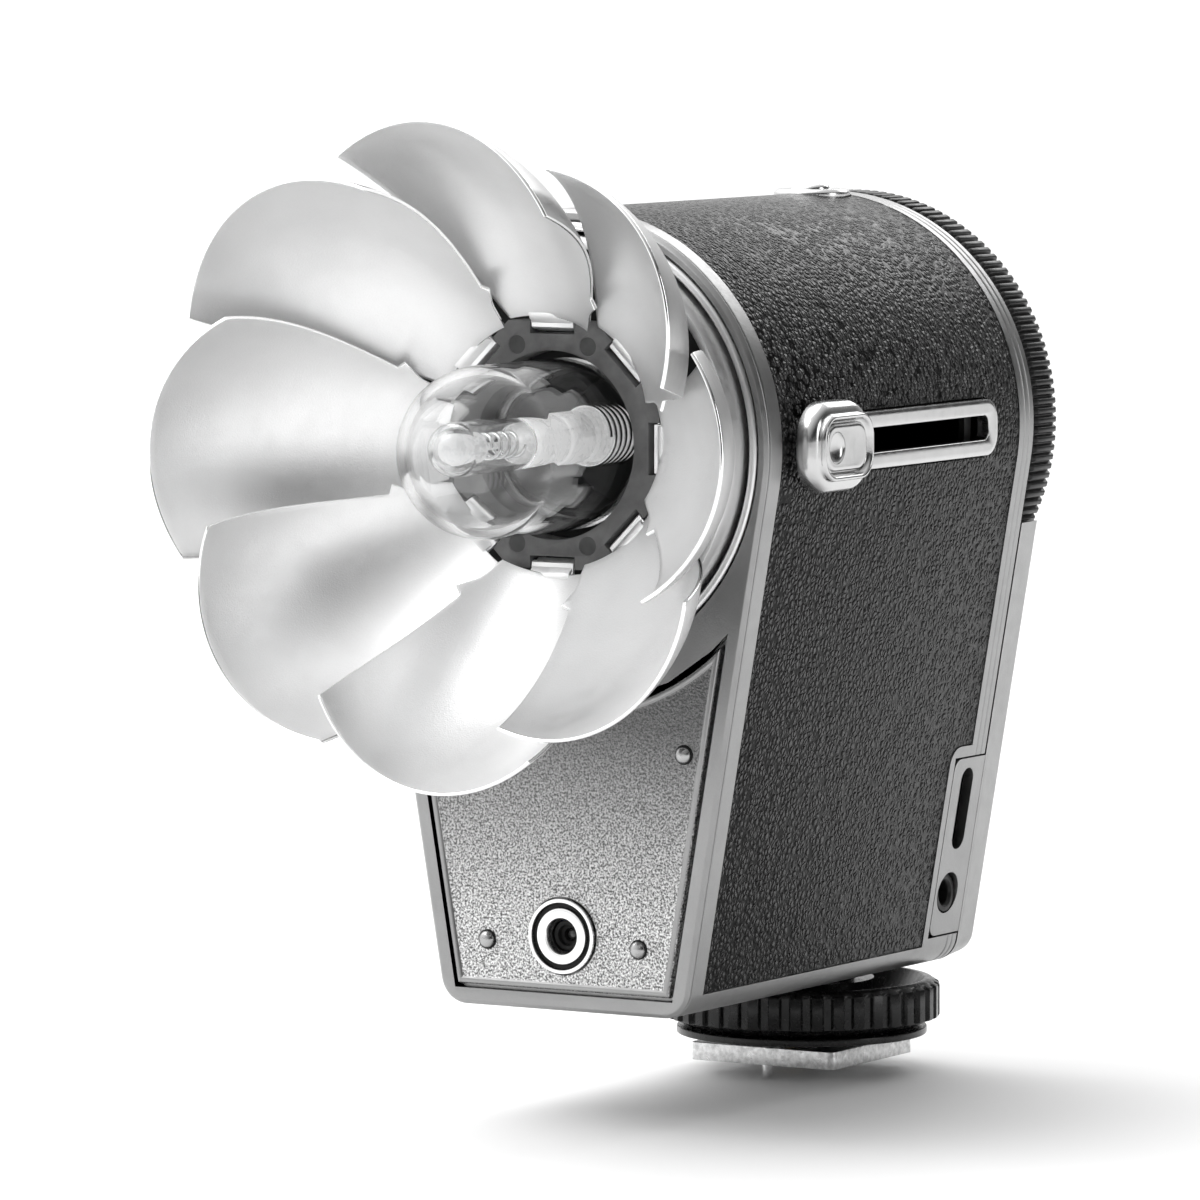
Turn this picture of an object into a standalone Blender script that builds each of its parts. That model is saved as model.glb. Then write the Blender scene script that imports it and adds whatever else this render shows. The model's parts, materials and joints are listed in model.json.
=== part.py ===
"""Flash bulb gun: a shoe-mounted flash with a folding reflector of eight leaves.

Frame: +Z up, the reflector looks along -Y, and the knob that draws it in is on the +X side.
The origin is the centre of the hot-shoe foot's underside. Sizes below are in millimetres.
"""
import math

import bmesh
import bpy
from mathutils import Vector

MM = 0.001
FIT_GAP = 0.3                  # clearance between fixed neighbours

# Body: a shield outline (a large top circle, tangent sides, two small bottom corners) run along Y
AXIS_Z = 72.5                  # height of the reflector, barrel and dial axis
BODY_R = 25.4
CORNER_R = 3.2
CORNER_X = 12.55
BODY_BOTTOM = 10.9
FRONT_Y = -52.5
FRONT_SEAM_Y = -51.7
REAR_SEAM_Y = 7.8
BACK_Y = 13.7
WALL = 1.4
SEAM = 0.2

# Leather covering and the raised strips that frame it
LEATHER_FRONT_Y = -49.1
LEATHER_REAR_Y = 4.25
LEATHER_BOTTOM_Z = 13.5
LEATHER_T = 0.5
LEATHER_SINK = 0.05
LEATHER_CLEAR = 0.15
PORT_STEP_Y = -0.4
PORT_STEP_Z = 36.2

# Front plate, its rivets and the photo-cell window
PLATE_MARGIN = 2.25
PLATE_ARC_R = 28.9
PLATE_FRONT_Y = -52.65
PLATE_BACK_Y = -51.85
RECESS_FLOOR_Y = -51.5
PLATE_GROOVE = 0.45
RIVET_SPOTS = ((9.55, 18.2), (15.2, 39.6))
RIVET_R = 0.9
RIVET_SHANK_R = 0.5
RIVET_DOME = 0.5
SENSOR_Z = 19.1
SENSOR_R = 4.1
SENSOR_NECK_R = 2.6
SENSOR_BORE_R = 1.8
SENSOR_FRONT_Y = -52.9
SENSOR_REAR_Y = -49.4
LENS_R = 1.5

# Barrel: collar, guide tube and the sleeve that carries the reflector
COLLAR_R = 24.1
BEZEL_BORE_R = 24.35
COLLAR_REAR_Y = -46.4
TUBE_BORE_R = 23.0
TUBE_R = 23.7
TUBE_REAR_Y = -4.0
TUBE_SLOT_HALF = 1.7
SLEEVE_R = 22.6
SLEEVE_BORE_R = 21.7
SLEEVE_FRONT_Y = -55.5
SLEEVE_REAR_Y = -37.5
WEB_T = 1.5
WEB_BORE_R = 8.7

# Slide knob and its slot
SLOT_FRONT_Y = -45.6
SLOT_REAR_Y = -1.5
SLOT_HALF = 3.15
SLOT_OPEN_HALF = 1.35
SLOT_BORDERS = (1.0, 2.1)       # frame beyond the slot's front and rear ends
SLOT_CLEAR = 0.2
ESCUTCHEON_X = (24.25, 25.85)
KNOB_Y = -41.0
KNOB_SIZE = (13.0, 9.9)        # along Y, along Z
KNOB_X = (26.1, 29.1)
KNOB_NECK = (6.0, 2.1)
KNOB_DISH = 0.5

# Hub and the eight leaves
LEAVES = 8
HUB_FRONT_Y = -54.7
HUB_BACK_Y = -51.3
HUB_APOTHEM = 13.35
HUB_BORE_R = 10.2
NOTCH_HALF = 2.8
NOTCH_DEPTH = 1.35
HINGE_R = 12.75
HINGE_BEHIND = 1.0             # hinge line behind the hub's front face
HINGE_PIN_R = 0.25
HINGE_BORE_R = 0.33
HINGE_PIN_HALF = 3.5
KNUCKLE_R = 0.55
TAB_HALF = 2.5
LEAF_ROOT = (13.95, 0.35)      # radius, and distance ahead of the hub's front face
LEAF_RIM = (35.5, 25.1)
LEAF_BULGE = 3.5
LEAF_BULGE_BIAS = 1.2
LEAF_T = 0.4
LEAF_FOLD = 36.0               # degrees from spread to folded
LEAF_SPIRAL = 1.2              # mm of radius per radian across a folded leaf
LEAF_OVER_ANGLES = (25.5, 66.0)    # degrees covered when folded, root and rim, on the over side
LEAF_UNDER_ANGLES = (20.8, 44.0)   # and on the side that lies under the next leaf
LEAF_WIDENING = 0.8             # power by which a leaf widens from root to rim
LEAF_RIM_TRIM = 0.3            # draws the rim's corners back level with its middle

# Lamp
DOME_R = 9.3
DOME_T = 0.7
DOME_TIP_Y = -78.1
TUBE_GLASS_R = 2.9
TUBE_GLASS_T = 0.6
TUBE_TIP_Y = -75.2
CUP_R = 8.3
CUP_WALL = 0.8
CUP_FLOOR_Y = -39.6
ELECTRODE_R = 0.9
ELECTRODE_TIP_Y = -62.2
TRIGGER_WIRE_R = 0.22
TRIGGER_TURNS = 5.0
TRIGGER_Y = (-47.5, -41.0)      # where the trigger wire's winding starts and ends

# Back: dial and rear cover
DIAL_R = 25.4
DIAL_TEETH = 148
DIAL_TOOTH = 0.45
DIAL_BORE_R = 19.0
DIAL_FRONT_Y = 8.1
BULKHEAD_Y = (6.25, 7.5)
COVER_WALL = 1.7
COVER_BEND_Z = 34.0
CRADLE_WALL = 2.0
HORN_TOP_Z = 61.0
COVER_TAB_FRONT_Y = 1.05
COVER_TAB_Z = (14.4, 34.6)
TAB_SINK = 0.03
USB_Y = 4.4
USB_Z = 28.8
USB_OPENING = (2.8, 9.3)
USB_SHELL = (3.2, 9.0)
USB_DEPTH = 6.5
JACK_Y = 3.9
JACK_Z = 19.2
JACK_R = 2.15
JACK_BORE_R = 1.35
JACK_DEPTH = 4.2

# Top test button and rear power button
TEST_Y = 2.0
TEST_R = 2.0
TEST_NECK_R = 3.1
TEST_BEZEL_R = 4.3
TEST_BEZEL_Z = 98.35
TEST_SEAT_Z = 97.2
POWER_Z = 30.0
POWER_R = 3.6
READY_X = 8.5
READY_R = 1.1

# Hot shoe
FOOT_SIZE = 18.6
FOOT_T = 2.0
STEM_R = 6.0
STEM_TOP_Z = 14.0
RING_R = 15.66
RING_Z = (3.8, 9.07)
RING_RIBS = 40
RING_RIB = 0.5
RING_FLANK = 0.1                # shares of the ribs' pitch: each flank, and the flat top
RING_LAND = 0.55
WASHER_R = 14.2
WASHER_Z = (2.8, 3.6)
CONTACT_Y = -2.1
CONTACT_R = 0.75
LOCATING_Y = -7.7
LOCATING_R = 0.62
LOCATING_TIP_Z = -1.5

BATTERY_BOX = ((-12.5, 12.5), (-46.0, -18.0), (17.5, 42.5))
BOARD_BOX = ((-13.5, 10.3), (0.2, 1.6), (16.5, 44.0))
CAPACITOR_CENTRE = (0, -8.5, 38.0)
CAPACITOR_R = 6.3
CAPACITOR_HALF = 10.5

# Reach of the cutters past what they cut, as a range along one axis
FRONT_CUT = (-60.0, -40.0)      # along Y
REAR_CUT = (0.0, 20.0)          # along Y
BACK_WALL_CUT = (10.0, 20.0)    # along Y
SIDE_CUT = (20.0, 30.0)         # along X
PORT_CUT = (10.0, 30.0)         # along X
TOP_CUT = (93.0, 102.0)         # along Z
BOTTOM_CUT = (8.0, 14.0)        # along Z

SEGMENTS = 40


# ---------------------------------------------------------------- materials

def material(name, colour, roughness, metallic, alpha=1.0):
    """Return the named Principled material, made once."""
    found = bpy.data.materials.get(name)
    if found:
        return found
    made = bpy.data.materials.new(name)
    made.use_nodes = True
    shader = made.node_tree.nodes["Principled BSDF"]
    shader.inputs["Base Color"].default_value = (*colour, 1.0)
    shader.inputs["Roughness"].default_value = roughness
    shader.inputs["Metallic"].default_value = metallic
    shader.inputs["Alpha"].default_value = alpha
    made.diffuse_color = (*colour, alpha)
    return made


FINISHES = {
    "satin_silver": ((0.62, 0.62, 0.63), 0.38, 1.0),
    "grained_silver": ((0.58, 0.58, 0.59), 0.48, 1.0),
    "chrome": ((0.80, 0.80, 0.81), 0.12, 1.0),
    "reflector": ((0.78, 0.78, 0.79), 0.30, 1.0),
    "leather": ((0.025, 0.025, 0.027), 0.55, 0.0),
    "black_plastic": ((0.022, 0.022, 0.024), 0.42, 0.0),
    "clear_glass": ((0.95, 0.96, 0.97), 0.02, 0.0, 0.3),
    "board": ((0.02, 0.12, 0.05), 0.5, 0.0),
    "battery_wrap": ((0.10, 0.16, 0.35), 0.4, 0.0),
    "gilt": ((0.83, 0.62, 0.28), 0.25, 1.0),
    "lamp_red": ((0.45, 0.03, 0.02), 0.25, 0.0),
}


# ---------------------------------------------------------------- mesh helpers

def finish_object(name, bm, finish, origin):
    """Turn a mesh given in world millimetres into an object whose origin is at `origin`."""
    bmesh.ops.remove_doubles(bm, verts=bm.verts, dist=1e-4)
    bmesh.ops.recalc_face_normals(bm, faces=bm.faces)
    bmesh.ops.translate(bm, verts=bm.verts, vec=-Vector(origin))
    bmesh.ops.scale(bm, verts=bm.verts, vec=(MM, MM, MM))
    mesh = bpy.data.meshes.new(name)
    bm.to_mesh(mesh)
    bm.free()
    mesh.shade_smooth()
    mesh.set_sharp_from_angle(angle=math.radians(35))
    if finish:
        mesh.materials.append(material(finish, *FINISHES[finish]))
    made = bpy.data.objects.new(name, mesh)
    made.location = Vector(origin) * MM
    bpy.context.scene.collection.objects.link(made)
    return made


def loft(sections, cyclic=False):
    """Skin a list of equal loops of 3-D points; close it end to end, or with end caps."""
    bm = bmesh.new()
    loops = [[bm.verts.new(point) for point in section] for section in sections]
    pairs = list(zip(loops, loops[1:]))
    if cyclic:
        pairs.append((loops[-1], loops[0]))
    for near, far in pairs:
        for i in range(len(near)):
            j = (i + 1) % len(near)
            bm.faces.new((near[i], near[j], far[j], far[i]))
    if not cyclic:
        bm.faces.new(loops[0])
        bm.faces.new(loops[-1])
    return bm


def turned_point(axis, centre, radius, along, angle):
    """A point on a turned shape: `along` is the world coordinate on the turning axis."""
    across, up = radius * math.cos(angle), radius * math.sin(angle)
    if axis == "X":
        return (along, centre[1] + across, centre[2] + up)
    if axis == "Y":
        return (centre[0] + across, along, centre[2] + up)
    return (centre[0] + across, centre[1] + up, along)


def turned(profile, axis, centre, segments=SEGMENTS, closed=False):
    """Spin a (radius, along) profile; an open one starts and ends on the axis."""
    bm = bmesh.new()
    rings = []
    for radius, along in profile:
        if radius == 0:
            rings.append([bm.verts.new(turned_point(axis, centre, 0, along, 0))])
            continue
        angles = [2 * math.pi * i / segments for i in range(segments)]
        rings.append([bm.verts.new(turned_point(axis, centre, radius, along, a)) for a in angles])
    pairs = list(zip(rings, rings[1:]))
    if closed:
        pairs.append((rings[-1], rings[0]))
    for near, far in pairs:
        for i in range(segments):
            j = (i + 1) % segments
            if len(near) == 1:
                bm.faces.new((near[0], far[j], far[i]))
            elif len(far) == 1:
                bm.faces.new((near[i], near[j], far[0]))
            else:
                bm.faces.new((near[i], near[j], far[j], far[i]))
    return bm


def rounded_rectangle(width, height, radius, steps=5):
    """Points of a rounded rectangle about (0, 0), counter-clockwise."""
    points = []
    for sx, sy, start in ((1, 1, 0), (-1, 1, 90), (-1, -1, 180), (1, -1, 270)):
        for step in range(steps + 1):
            angle = math.radians(start + 90 * step / steps)
            points.append((sx * (width / 2 - radius) + radius * math.cos(angle),
                           sy * (height / 2 - radius) + radius * math.sin(angle)))
    return points


def prism_x(outline, x_range, centre_y, centre_z):
    """Run a (y, z) outline along X."""
    return loft([[(x, centre_y + y, centre_z + z) for y, z in outline] for x in x_range])


def prism_y(outline, y_range):
    """Run an (x, z) outline along Y."""
    return loft([[(x, y, z) for x, z in outline] for y in y_range])


def block(x_range, y_range, z_range):
    """A plain box between three pairs of limits."""
    outline = [(x_range[0], z_range[0]), (x_range[1], z_range[0]),
               (x_range[1], z_range[1]), (x_range[0], z_range[1])]
    return prism_y(outline, y_range)


def helper(name, bm):
    """A hidden shape that cuts or joins another object."""
    made = finish_object(name, bm, None, (0, 0, 0))
    made.hide_render = True
    made.display_type = "WIRE"
    return made


def combine(target, other, operation):
    """Add an exact Boolean to `target`."""
    step = target.modifiers.new(other.name, "BOOLEAN")
    step.operation = operation
    step.solver = "EXACT"
    step.object = other


def cut(target, name, bm):
    """Cut a shape out of `target`."""
    combine(target, helper(name, bm), "DIFFERENCE")


def join(target, name, bm):
    """Join a shape to `target`."""
    combine(target, helper(name, bm), "UNION")


def drill(target, name, axis, centre, radius, along_range, segments):
    """Cut a plain round bore between two heights along its axis."""
    start, end = along_range
    cut(target, name, turned([(0, start), (radius, start), (radius, end), (0, end)],
                             axis, centre, segments))


# ---------------------------------------------------------------- body outline

def tangent_angle():
    """Angle of the side wall's outward normal, below the horizontal."""
    run, drop = CORNER_X, BODY_BOTTOM + CORNER_R - AXIS_Z
    length = math.hypot(run, drop)
    return math.atan2(drop, run) + math.acos((BODY_R - CORNER_R) / length)


def arc(centre, radius, start, end, steps):
    """Points of an arc about a 2-D centre, ends included."""
    return [(centre[0] + radius * math.cos(start + (end - start) * i / steps),
             centre[1] + radius * math.sin(start + (end - start) * i / steps))
            for i in range(steps + 1)]


def shield(inset=0.0, top_steps=36, corner_steps=5):
    """The body outline as (x, z), counter-clockwise from its right tangent point."""
    lean = tangent_angle()
    corner_z = BODY_BOTTOM + CORNER_R
    top = arc((0, AXIS_Z), BODY_R - inset, lean, math.pi - lean, top_steps)
    left = arc((-CORNER_X, corner_z), CORNER_R - inset, math.pi - lean, 1.5 * math.pi, corner_steps)
    right = arc((CORNER_X, corner_z), CORNER_R - inset, 1.5 * math.pi, 2 * math.pi + lean, corner_steps)
    return top + left + right


def side_x(z, inset=0.0):
    """Half-width of the body on its straight side wall at height z."""
    lean = tangent_angle()
    return ((BODY_R - inset) - (z - AXIS_Z) * math.sin(lean)) / math.cos(lean)


def wrap_path(inset, bottom_z, top_steps=36):
    """The outline over the top, from the right wall at bottom_z to the left wall."""
    lean = tangent_angle()
    end = side_x(bottom_z, inset)
    top = arc((0, AXIS_Z), BODY_R - inset, lean, math.pi - lean, top_steps)
    return [(end, bottom_z)] + top + [(-end, bottom_z)]


def wrap_solid(outer_inset, inner_inset, bottom_z, y_range):
    """A band of even thickness that follows the outline over the top of the body."""
    outer = wrap_path(outer_inset, bottom_z)
    inner = wrap_path(inner_inset, bottom_z)
    sections = []
    for (xo, zo), (xi, zi) in zip(outer, inner):
        sections.append([(xo, y_range[0], zo), (xo, y_range[1], zo),
                         (xi, y_range[1], zi), (xi, y_range[0], zi)])
    return loft(sections)


def outline_loft(stations):
    """Skin shield outlines given as (y, inset)."""
    return loft([[(x, y, z) for x, z in shield(inset)] for y, inset in stations])


# ---------------------------------------------------------------- casing

def port_step(grow):
    """The stepped corner that the leather leaves free for the ports."""
    outline = rounded_rectangle(20, PORT_STEP_Z - 5 + grow, 2.0)
    centre_y = PORT_STEP_Y - grow + 10
    centre_z = (PORT_STEP_Z + 5 + grow) / 2
    return prism_x(outline, (8, 34), centre_y, centre_z)


def slot_opening(grow, x_range):
    """The oblong that the slot's frame sits in."""
    length = SLOT_REAR_Y - SLOT_FRONT_Y + 2 * grow
    outline = rounded_rectangle(length, 2 * (SLOT_HALF + grow), 2.5)
    return prism_x(outline, x_range, (SLOT_FRONT_Y + SLOT_REAR_Y) / 2, AXIS_Z)


def build_mid_case():
    """Silver shell between the front and rear covers, with a sunk field for the leather."""
    outer, inner = shield(0), shield(WALL)
    rings = [[(x, y, z) for x, z in outline] for outline, y in (
        (outer, FRONT_SEAM_Y), (outer, REAR_SEAM_Y), (inner, REAR_SEAM_Y), (inner, FRONT_SEAM_Y))]
    case = finish_object("mid_case", loft(rings, cyclic=True), "satin_silver", (0, 0, 0))
    pocket = helper("leather_pocket", wrap_solid(
        -1.0, LEATHER_SINK + LEATHER_T + 0.12, LEATHER_BOTTOM_Z - LEATHER_CLEAR,
        (LEATHER_FRONT_Y - LEATHER_CLEAR, LEATHER_REAR_Y + LEATHER_CLEAR)))
    cut(pocket, "pocket_step", port_step(-LEATHER_CLEAR))
    cut(case, "case_slot", slot_opening(SLOT_CLEAR, SIDE_CUT))
    cut(case, "cover_tab_bay", block((8, SIDE_CUT[1]), (COVER_TAB_FRONT_Y - SEAM, REAR_CUT[1]),
                                     (COVER_TAB_Z[0] - SEAM, COVER_TAB_Z[1] + SEAM)))
    drill(case, "test_bore", "Z", (0, TEST_Y, 0), TEST_NECK_R + 0.25, TOP_CUT, 28)
    drill(case, "test_seat", "Z", (0, TEST_Y, 0), TEST_BEZEL_R + 0.15, (TEST_SEAT_Z, TOP_CUT[1]), 28)
    drill(case, "stem_bore", "Z", (0, 0, 0), STEM_R + FIT_GAP, BOTTOM_CUT, 32)
    combine(case, pocket, "DIFFERENCE")


def build_leather():
    """Pebbled covering over the top and down both sides."""
    leather = finish_object("leather_wrap", wrap_solid(
        LEATHER_SINK, LEATHER_SINK + LEATHER_T, LEATHER_BOTTOM_Z,
        (LEATHER_FRONT_Y, LEATHER_REAR_Y)), "leather", (0, 0, 0))
    cut(leather, "leather_step", port_step(0))
    cut(leather, "leather_slot", slot_opening(SLOT_CLEAR, SIDE_CUT))
    drill(leather, "leather_test_hole", "Z", (0, TEST_Y, 0), TEST_BEZEL_R + 0.15, TOP_CUT, 28)


def plate_outline(grow):
    """Front plate: the shield's lower part under a hollow arc round the barrel."""
    arc_r = PLATE_ARC_R - grow
    margin = PLATE_MARGIN - grow
    low_z = BODY_BOTTOM + margin
    start = tangent_angle() - math.acos((BODY_R - margin) / arc_r)
    bottom_x = side_x(low_z, margin)
    arch = arc((0, AXIS_Z), arc_r, start, -math.pi - start, 16)
    return arch + [(-bottom_x, low_z), (bottom_x, low_z)]


def build_front():
    """Front bezel with its chamfered edge, the grained plate, rivets and photo-cell."""
    bezel = finish_object("front_bezel", outline_loft((
        (FRONT_SEAM_Y + 1.7, WALL + 0.4), (FRONT_SEAM_Y - SEAM, WALL + 0.4), (FRONT_SEAM_Y - SEAM, 0),
        (FRONT_Y + 0.35, 0), (FRONT_Y, 0.4))), "satin_silver", (0, 0, 0))
    drill(bezel, "barrel_bore", "Y", (0, 0, AXIS_Z), BEZEL_BORE_R, FRONT_CUT, 72)
    cut(bezel, "plate_recess", prism_y(plate_outline(PLATE_GROOVE), (FRONT_CUT[0], RECESS_FLOOR_Y)))
    drill(bezel, "sensor_bore", "Y", (0, 0, SENSOR_Z), SENSOR_NECK_R + FIT_GAP, FRONT_CUT, 24)
    plate = finish_object("front_plate", prism_y(plate_outline(0), (PLATE_FRONT_Y, PLATE_BACK_Y)),
                          "grained_silver", (0, 0, 0))
    drill(plate, "sensor_window", "Y", (0, 0, SENSOR_Z), SENSOR_R + 0.2, FRONT_CUT, 28)
    spots = [(side * x, z) for side in (1, -1) for x, z in RIVET_SPOTS]
    for number, (x, z) in enumerate(spots, start=1):
        drill(plate, f"rivet_bore_{number}", "Y", (x, 0, z), RIVET_SHANK_R + 0.2, FRONT_CUT, 12)
        seat, end = PLATE_FRONT_Y - 0.05, RECESS_FLOOR_Y - 0.1
        finish_object(f"front_rivet_{number}", turned(
            [(0, seat - RIVET_DOME), (RIVET_R / 2, seat - 0.84 * RIVET_DOME),
             (RIVET_R - 0.1, seat - 0.4 * RIVET_DOME), (RIVET_R, seat), (RIVET_SHANK_R, seat),
             (RIVET_SHANK_R, end), (0, end)], "Y", (x, 0, z), 14),
            "satin_silver", (0, 0, 0))
    finish_object("sensor_bezel", turned(
        [(SENSOR_BORE_R, SENSOR_FRONT_Y), (3.0, SENSOR_FRONT_Y), (3.15, SENSOR_FRONT_Y + 0.3),
         (3.5, SENSOR_FRONT_Y + 0.3), (3.65, SENSOR_FRONT_Y - 0.1), (SENSOR_R, SENSOR_FRONT_Y),
         (SENSOR_R, RECESS_FLOOR_Y - 0.3), (SENSOR_NECK_R, RECESS_FLOOR_Y - 0.3),
         (SENSOR_NECK_R, SENSOR_REAR_Y), (SENSOR_BORE_R, SENSOR_REAR_Y)],
        "Y", (0, 0, SENSOR_Z), 22, closed=True), "satin_silver", (0, 0, 0))
    finish_object("sensor_lens", turned(
        [(0, SENSOR_FRONT_Y + 1.5), (0.8, SENSOR_FRONT_Y + 1.6), (LENS_R, SENSOR_FRONT_Y + 2.0),
         (LENS_R, SENSOR_REAR_Y - 0.4), (0, SENSOR_REAR_Y - 0.4)], "Y", (0, 0, SENSOR_Z), 20),
        "black_plastic", (0, 0, 0))


def cover_hollow():
    """Outline of the rear cover's hollow: inside the walls and under the dial's cradle."""
    cradle = DIAL_R + CRADLE_WALL
    start = tangent_angle() - math.acos((BODY_R - COVER_WALL - 0.4) / cradle)
    arch = arc((0, AXIS_Z), cradle, start, -math.pi - start, 14)
    low = BODY_BOTTOM + COVER_WALL
    corner = CORNER_X - 0.2
    right = [(corner, low), (corner + 1.2, low + 1.4), (side_x(COVER_BEND_Z, COVER_WALL), COVER_BEND_Z)]
    return arch + [(-x, z) for x, z in right[::-1]] + right


def build_rear_cover():
    """Rear shell under the dial, with the port tab on the +X side."""
    cover = finish_object("rear_cover", outline_loft((
        (REAR_SEAM_Y + SEAM, 0), (BACK_Y - 0.9, 0.45), (BACK_Y - 0.25, 0.8), (BACK_Y, 1.4))),
        "satin_silver", (0, 0, 0))
    cut(cover, "cover_inside", prism_y(cover_hollow(), (REAR_CUT[0], BACK_Y - WALL - 0.1)))
    tab = []
    for z in COVER_TAB_Z:
        outer, inner = side_x(z, TAB_SINK), side_x(z, WALL - 0.1)
        tab.append([(outer, COVER_TAB_FRONT_Y, z), (outer, REAR_SEAM_Y + 0.8, z),
                    (inner, REAR_SEAM_Y + 0.8, z), (inner, COVER_TAB_FRONT_Y, z)])
    join(cover, "cover_tab", loft(tab))
    drill(cover, "dial_cradle", "Y", (0, 0, AXIS_Z), DIAL_R + 0.35, REAR_CUT, 72)
    cut(cover, "horn_trim", block((-2 * BODY_R, 2 * BODY_R), REAR_CUT, (HORN_TOP_Z, AXIS_Z + 2 * BODY_R)))
    usb = rounded_rectangle(USB_OPENING[0], USB_OPENING[1], 1.3, 4)
    cut(cover, "usb_opening", prism_x(usb, PORT_CUT, USB_Y, USB_Z))
    drill(cover, "jack_opening", "X", (0, JACK_Y, JACK_Z), JACK_R + 0.2, PORT_CUT, 20)
    drill(cover, "power_opening", "Y", (0, 0, POWER_Z), POWER_R + 0.25, BACK_WALL_CUT, 28)
    drill(cover, "ready_opening", "Y", (READY_X, 0, POWER_Z), READY_R + 0.2, BACK_WALL_CUT, 14)


def build_ports():
    """USB receptacle and sync jack behind the port tab, and the small rear lamp."""
    x_front = side_x(USB_Z - USB_OPENING[1] / 2, 1.6)
    shell = rounded_rectangle(USB_SHELL[0], USB_SHELL[1], 1.2, 4)
    usb = finish_object("usb_port", prism_x(shell, (x_front - USB_DEPTH, x_front), USB_Y, USB_Z),
                        "satin_silver", (0, 0, 0))
    mouth = rounded_rectangle(USB_SHELL[0] - 0.7, USB_SHELL[1] - 0.7, 1.0, 4)
    cut(usb, "usb_mouth", prism_x(mouth, (x_front - USB_DEPTH + 1, x_front + 2), USB_Y, USB_Z))
    x_jack = side_x(JACK_Z, 0.35)
    finish_object("sync_jack", turned(
        [(0, x_jack - JACK_DEPTH), (JACK_BORE_R, x_jack - JACK_DEPTH), (JACK_BORE_R, x_jack),
         (JACK_R, x_jack), (JACK_R, x_jack - JACK_DEPTH - 0.8), (0, x_jack - JACK_DEPTH - 0.8)],
        "X", (0, JACK_Y, JACK_Z), 20),
        "black_plastic", (0, 0, 0))
    finish_object("ready_lamp", turned(
        [(0, BACK_Y + 0.15), (0.7, BACK_Y + 0.05), (READY_R, BACK_Y - 0.2), (READY_R, 11.4), (0, 11.4)],
        "Y", (READY_X, 0, POWER_Z), 14), "lamp_red", (0, 0, 0))


# ---------------------------------------------------------------- barrel and slide

def build_barrel():
    """Collar ring in the front bezel and the tube that guides the sleeve."""
    centre = (0, 0, AXIS_Z)
    finish_object("barrel_collar", turned(
        [(TUBE_BORE_R, -52.2), (TUBE_BORE_R + 0.4, -52.65), (COLLAR_R - 0.3, -52.65), (COLLAR_R, -52.35),
         (COLLAR_R, -51.95), (TUBE_R, -51.9), (TUBE_R, COLLAR_REAR_Y), (TUBE_BORE_R, COLLAR_REAR_Y)],
        "Y", centre, 48, closed=True), "satin_silver", (0, 0, 0))
    front, rear = COLLAR_REAR_Y + FIT_GAP, TUBE_REAR_Y
    tube = finish_object("guide_tube", turned(
        [(TUBE_BORE_R, front), (TUBE_R, front), (TUBE_R, rear), (TUBE_BORE_R, rear)],
        "Y", centre, 48, closed=True), "satin_silver", (0, 0, 0))
    cut(tube, "tube_slot", block((SLEEVE_R / 2, SIDE_CUT[1]), (front + 0.8, rear - 1.5),
                                 (AXIS_Z - TUBE_SLOT_HALF, AXIS_Z + TUBE_SLOT_HALF)))


def build_sleeve():
    """Sliding sleeve with the web that carries the hub and the lamp."""
    web_front = HUB_BACK_Y + 0.4
    web_back = web_front + WEB_T
    finish_object("reflector_sleeve", turned(
        [(SLEEVE_BORE_R, SLEEVE_FRONT_Y), (SLEEVE_R, SLEEVE_FRONT_Y), (SLEEVE_R, SLEEVE_REAR_Y),
         (SLEEVE_BORE_R, SLEEVE_REAR_Y), (SLEEVE_BORE_R, web_back), (WEB_BORE_R, web_back),
         (WEB_BORE_R, web_front), (SLEEVE_BORE_R, web_front)],
        "Y", (0, 0, AXIS_Z), 48, closed=True), "satin_silver", (0, 0, AXIS_Z))


def build_slide_knob():
    """Slot frame, and the knob whose neck reaches through the slot to the sleeve."""
    frame = finish_object("slot_escutcheon", slot_opening(0, ESCUTCHEON_X), "chrome", (0, 0, 0))
    gap_front, gap_rear = SLOT_FRONT_Y + SLOT_BORDERS[0], SLOT_REAR_Y - SLOT_BORDERS[1]
    outline = rounded_rectangle(gap_rear - gap_front, 2 * SLOT_OPEN_HALF, 1.0)
    cut(frame, "slot_gap", prism_x(outline, SIDE_CUT, (gap_front + gap_rear) / 2, AXIS_Z))
    outer = rounded_rectangle(KNOB_SIZE[0], KNOB_SIZE[1], 3.6)
    mid = rounded_rectangle(KNOB_SIZE[0] - 0.5, KNOB_SIZE[1] - 0.5, 3.5)
    top = rounded_rectangle(KNOB_SIZE[0] - 1.4, KNOB_SIZE[1] - 2.6, 2.4)
    dish = rounded_rectangle(KNOB_SIZE[0] - 4.4, KNOB_SIZE[1] - 5.0, 1.7)
    base_x, top_x = KNOB_X
    step_x = top_x - 0.55
    levels = ((outer, base_x), (outer, step_x - 0.55), (mid, step_x - 0.05), (top, step_x),
              (top, top_x), (dish, top_x), (dish, top_x - KNOB_DISH))
    knob = finish_object("slider_knob", loft(
        [[(x, KNOB_Y + y, AXIS_Z + z) for y, z in outline] for outline, x in levels]),
        "chrome", (0, KNOB_Y, AXIS_Z))
    neck = rounded_rectangle(KNOB_NECK[0], KNOB_NECK[1], 0.8, 3)
    join(knob, "knob_neck", prism_x(neck, (SLEEVE_R + 0.3, base_x + 0.5), KNOB_Y, AXIS_Z))


# ---------------------------------------------------------------- hub and leaves

def leaf_frame(index):
    """Outward radial and clockwise tangential unit vectors of one leaf, seen from the front."""
    angle = 2 * math.pi * index / LEAVES
    return Vector((math.cos(angle), 0, math.sin(angle))), Vector((math.sin(angle), 0, -math.cos(angle)))


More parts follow.
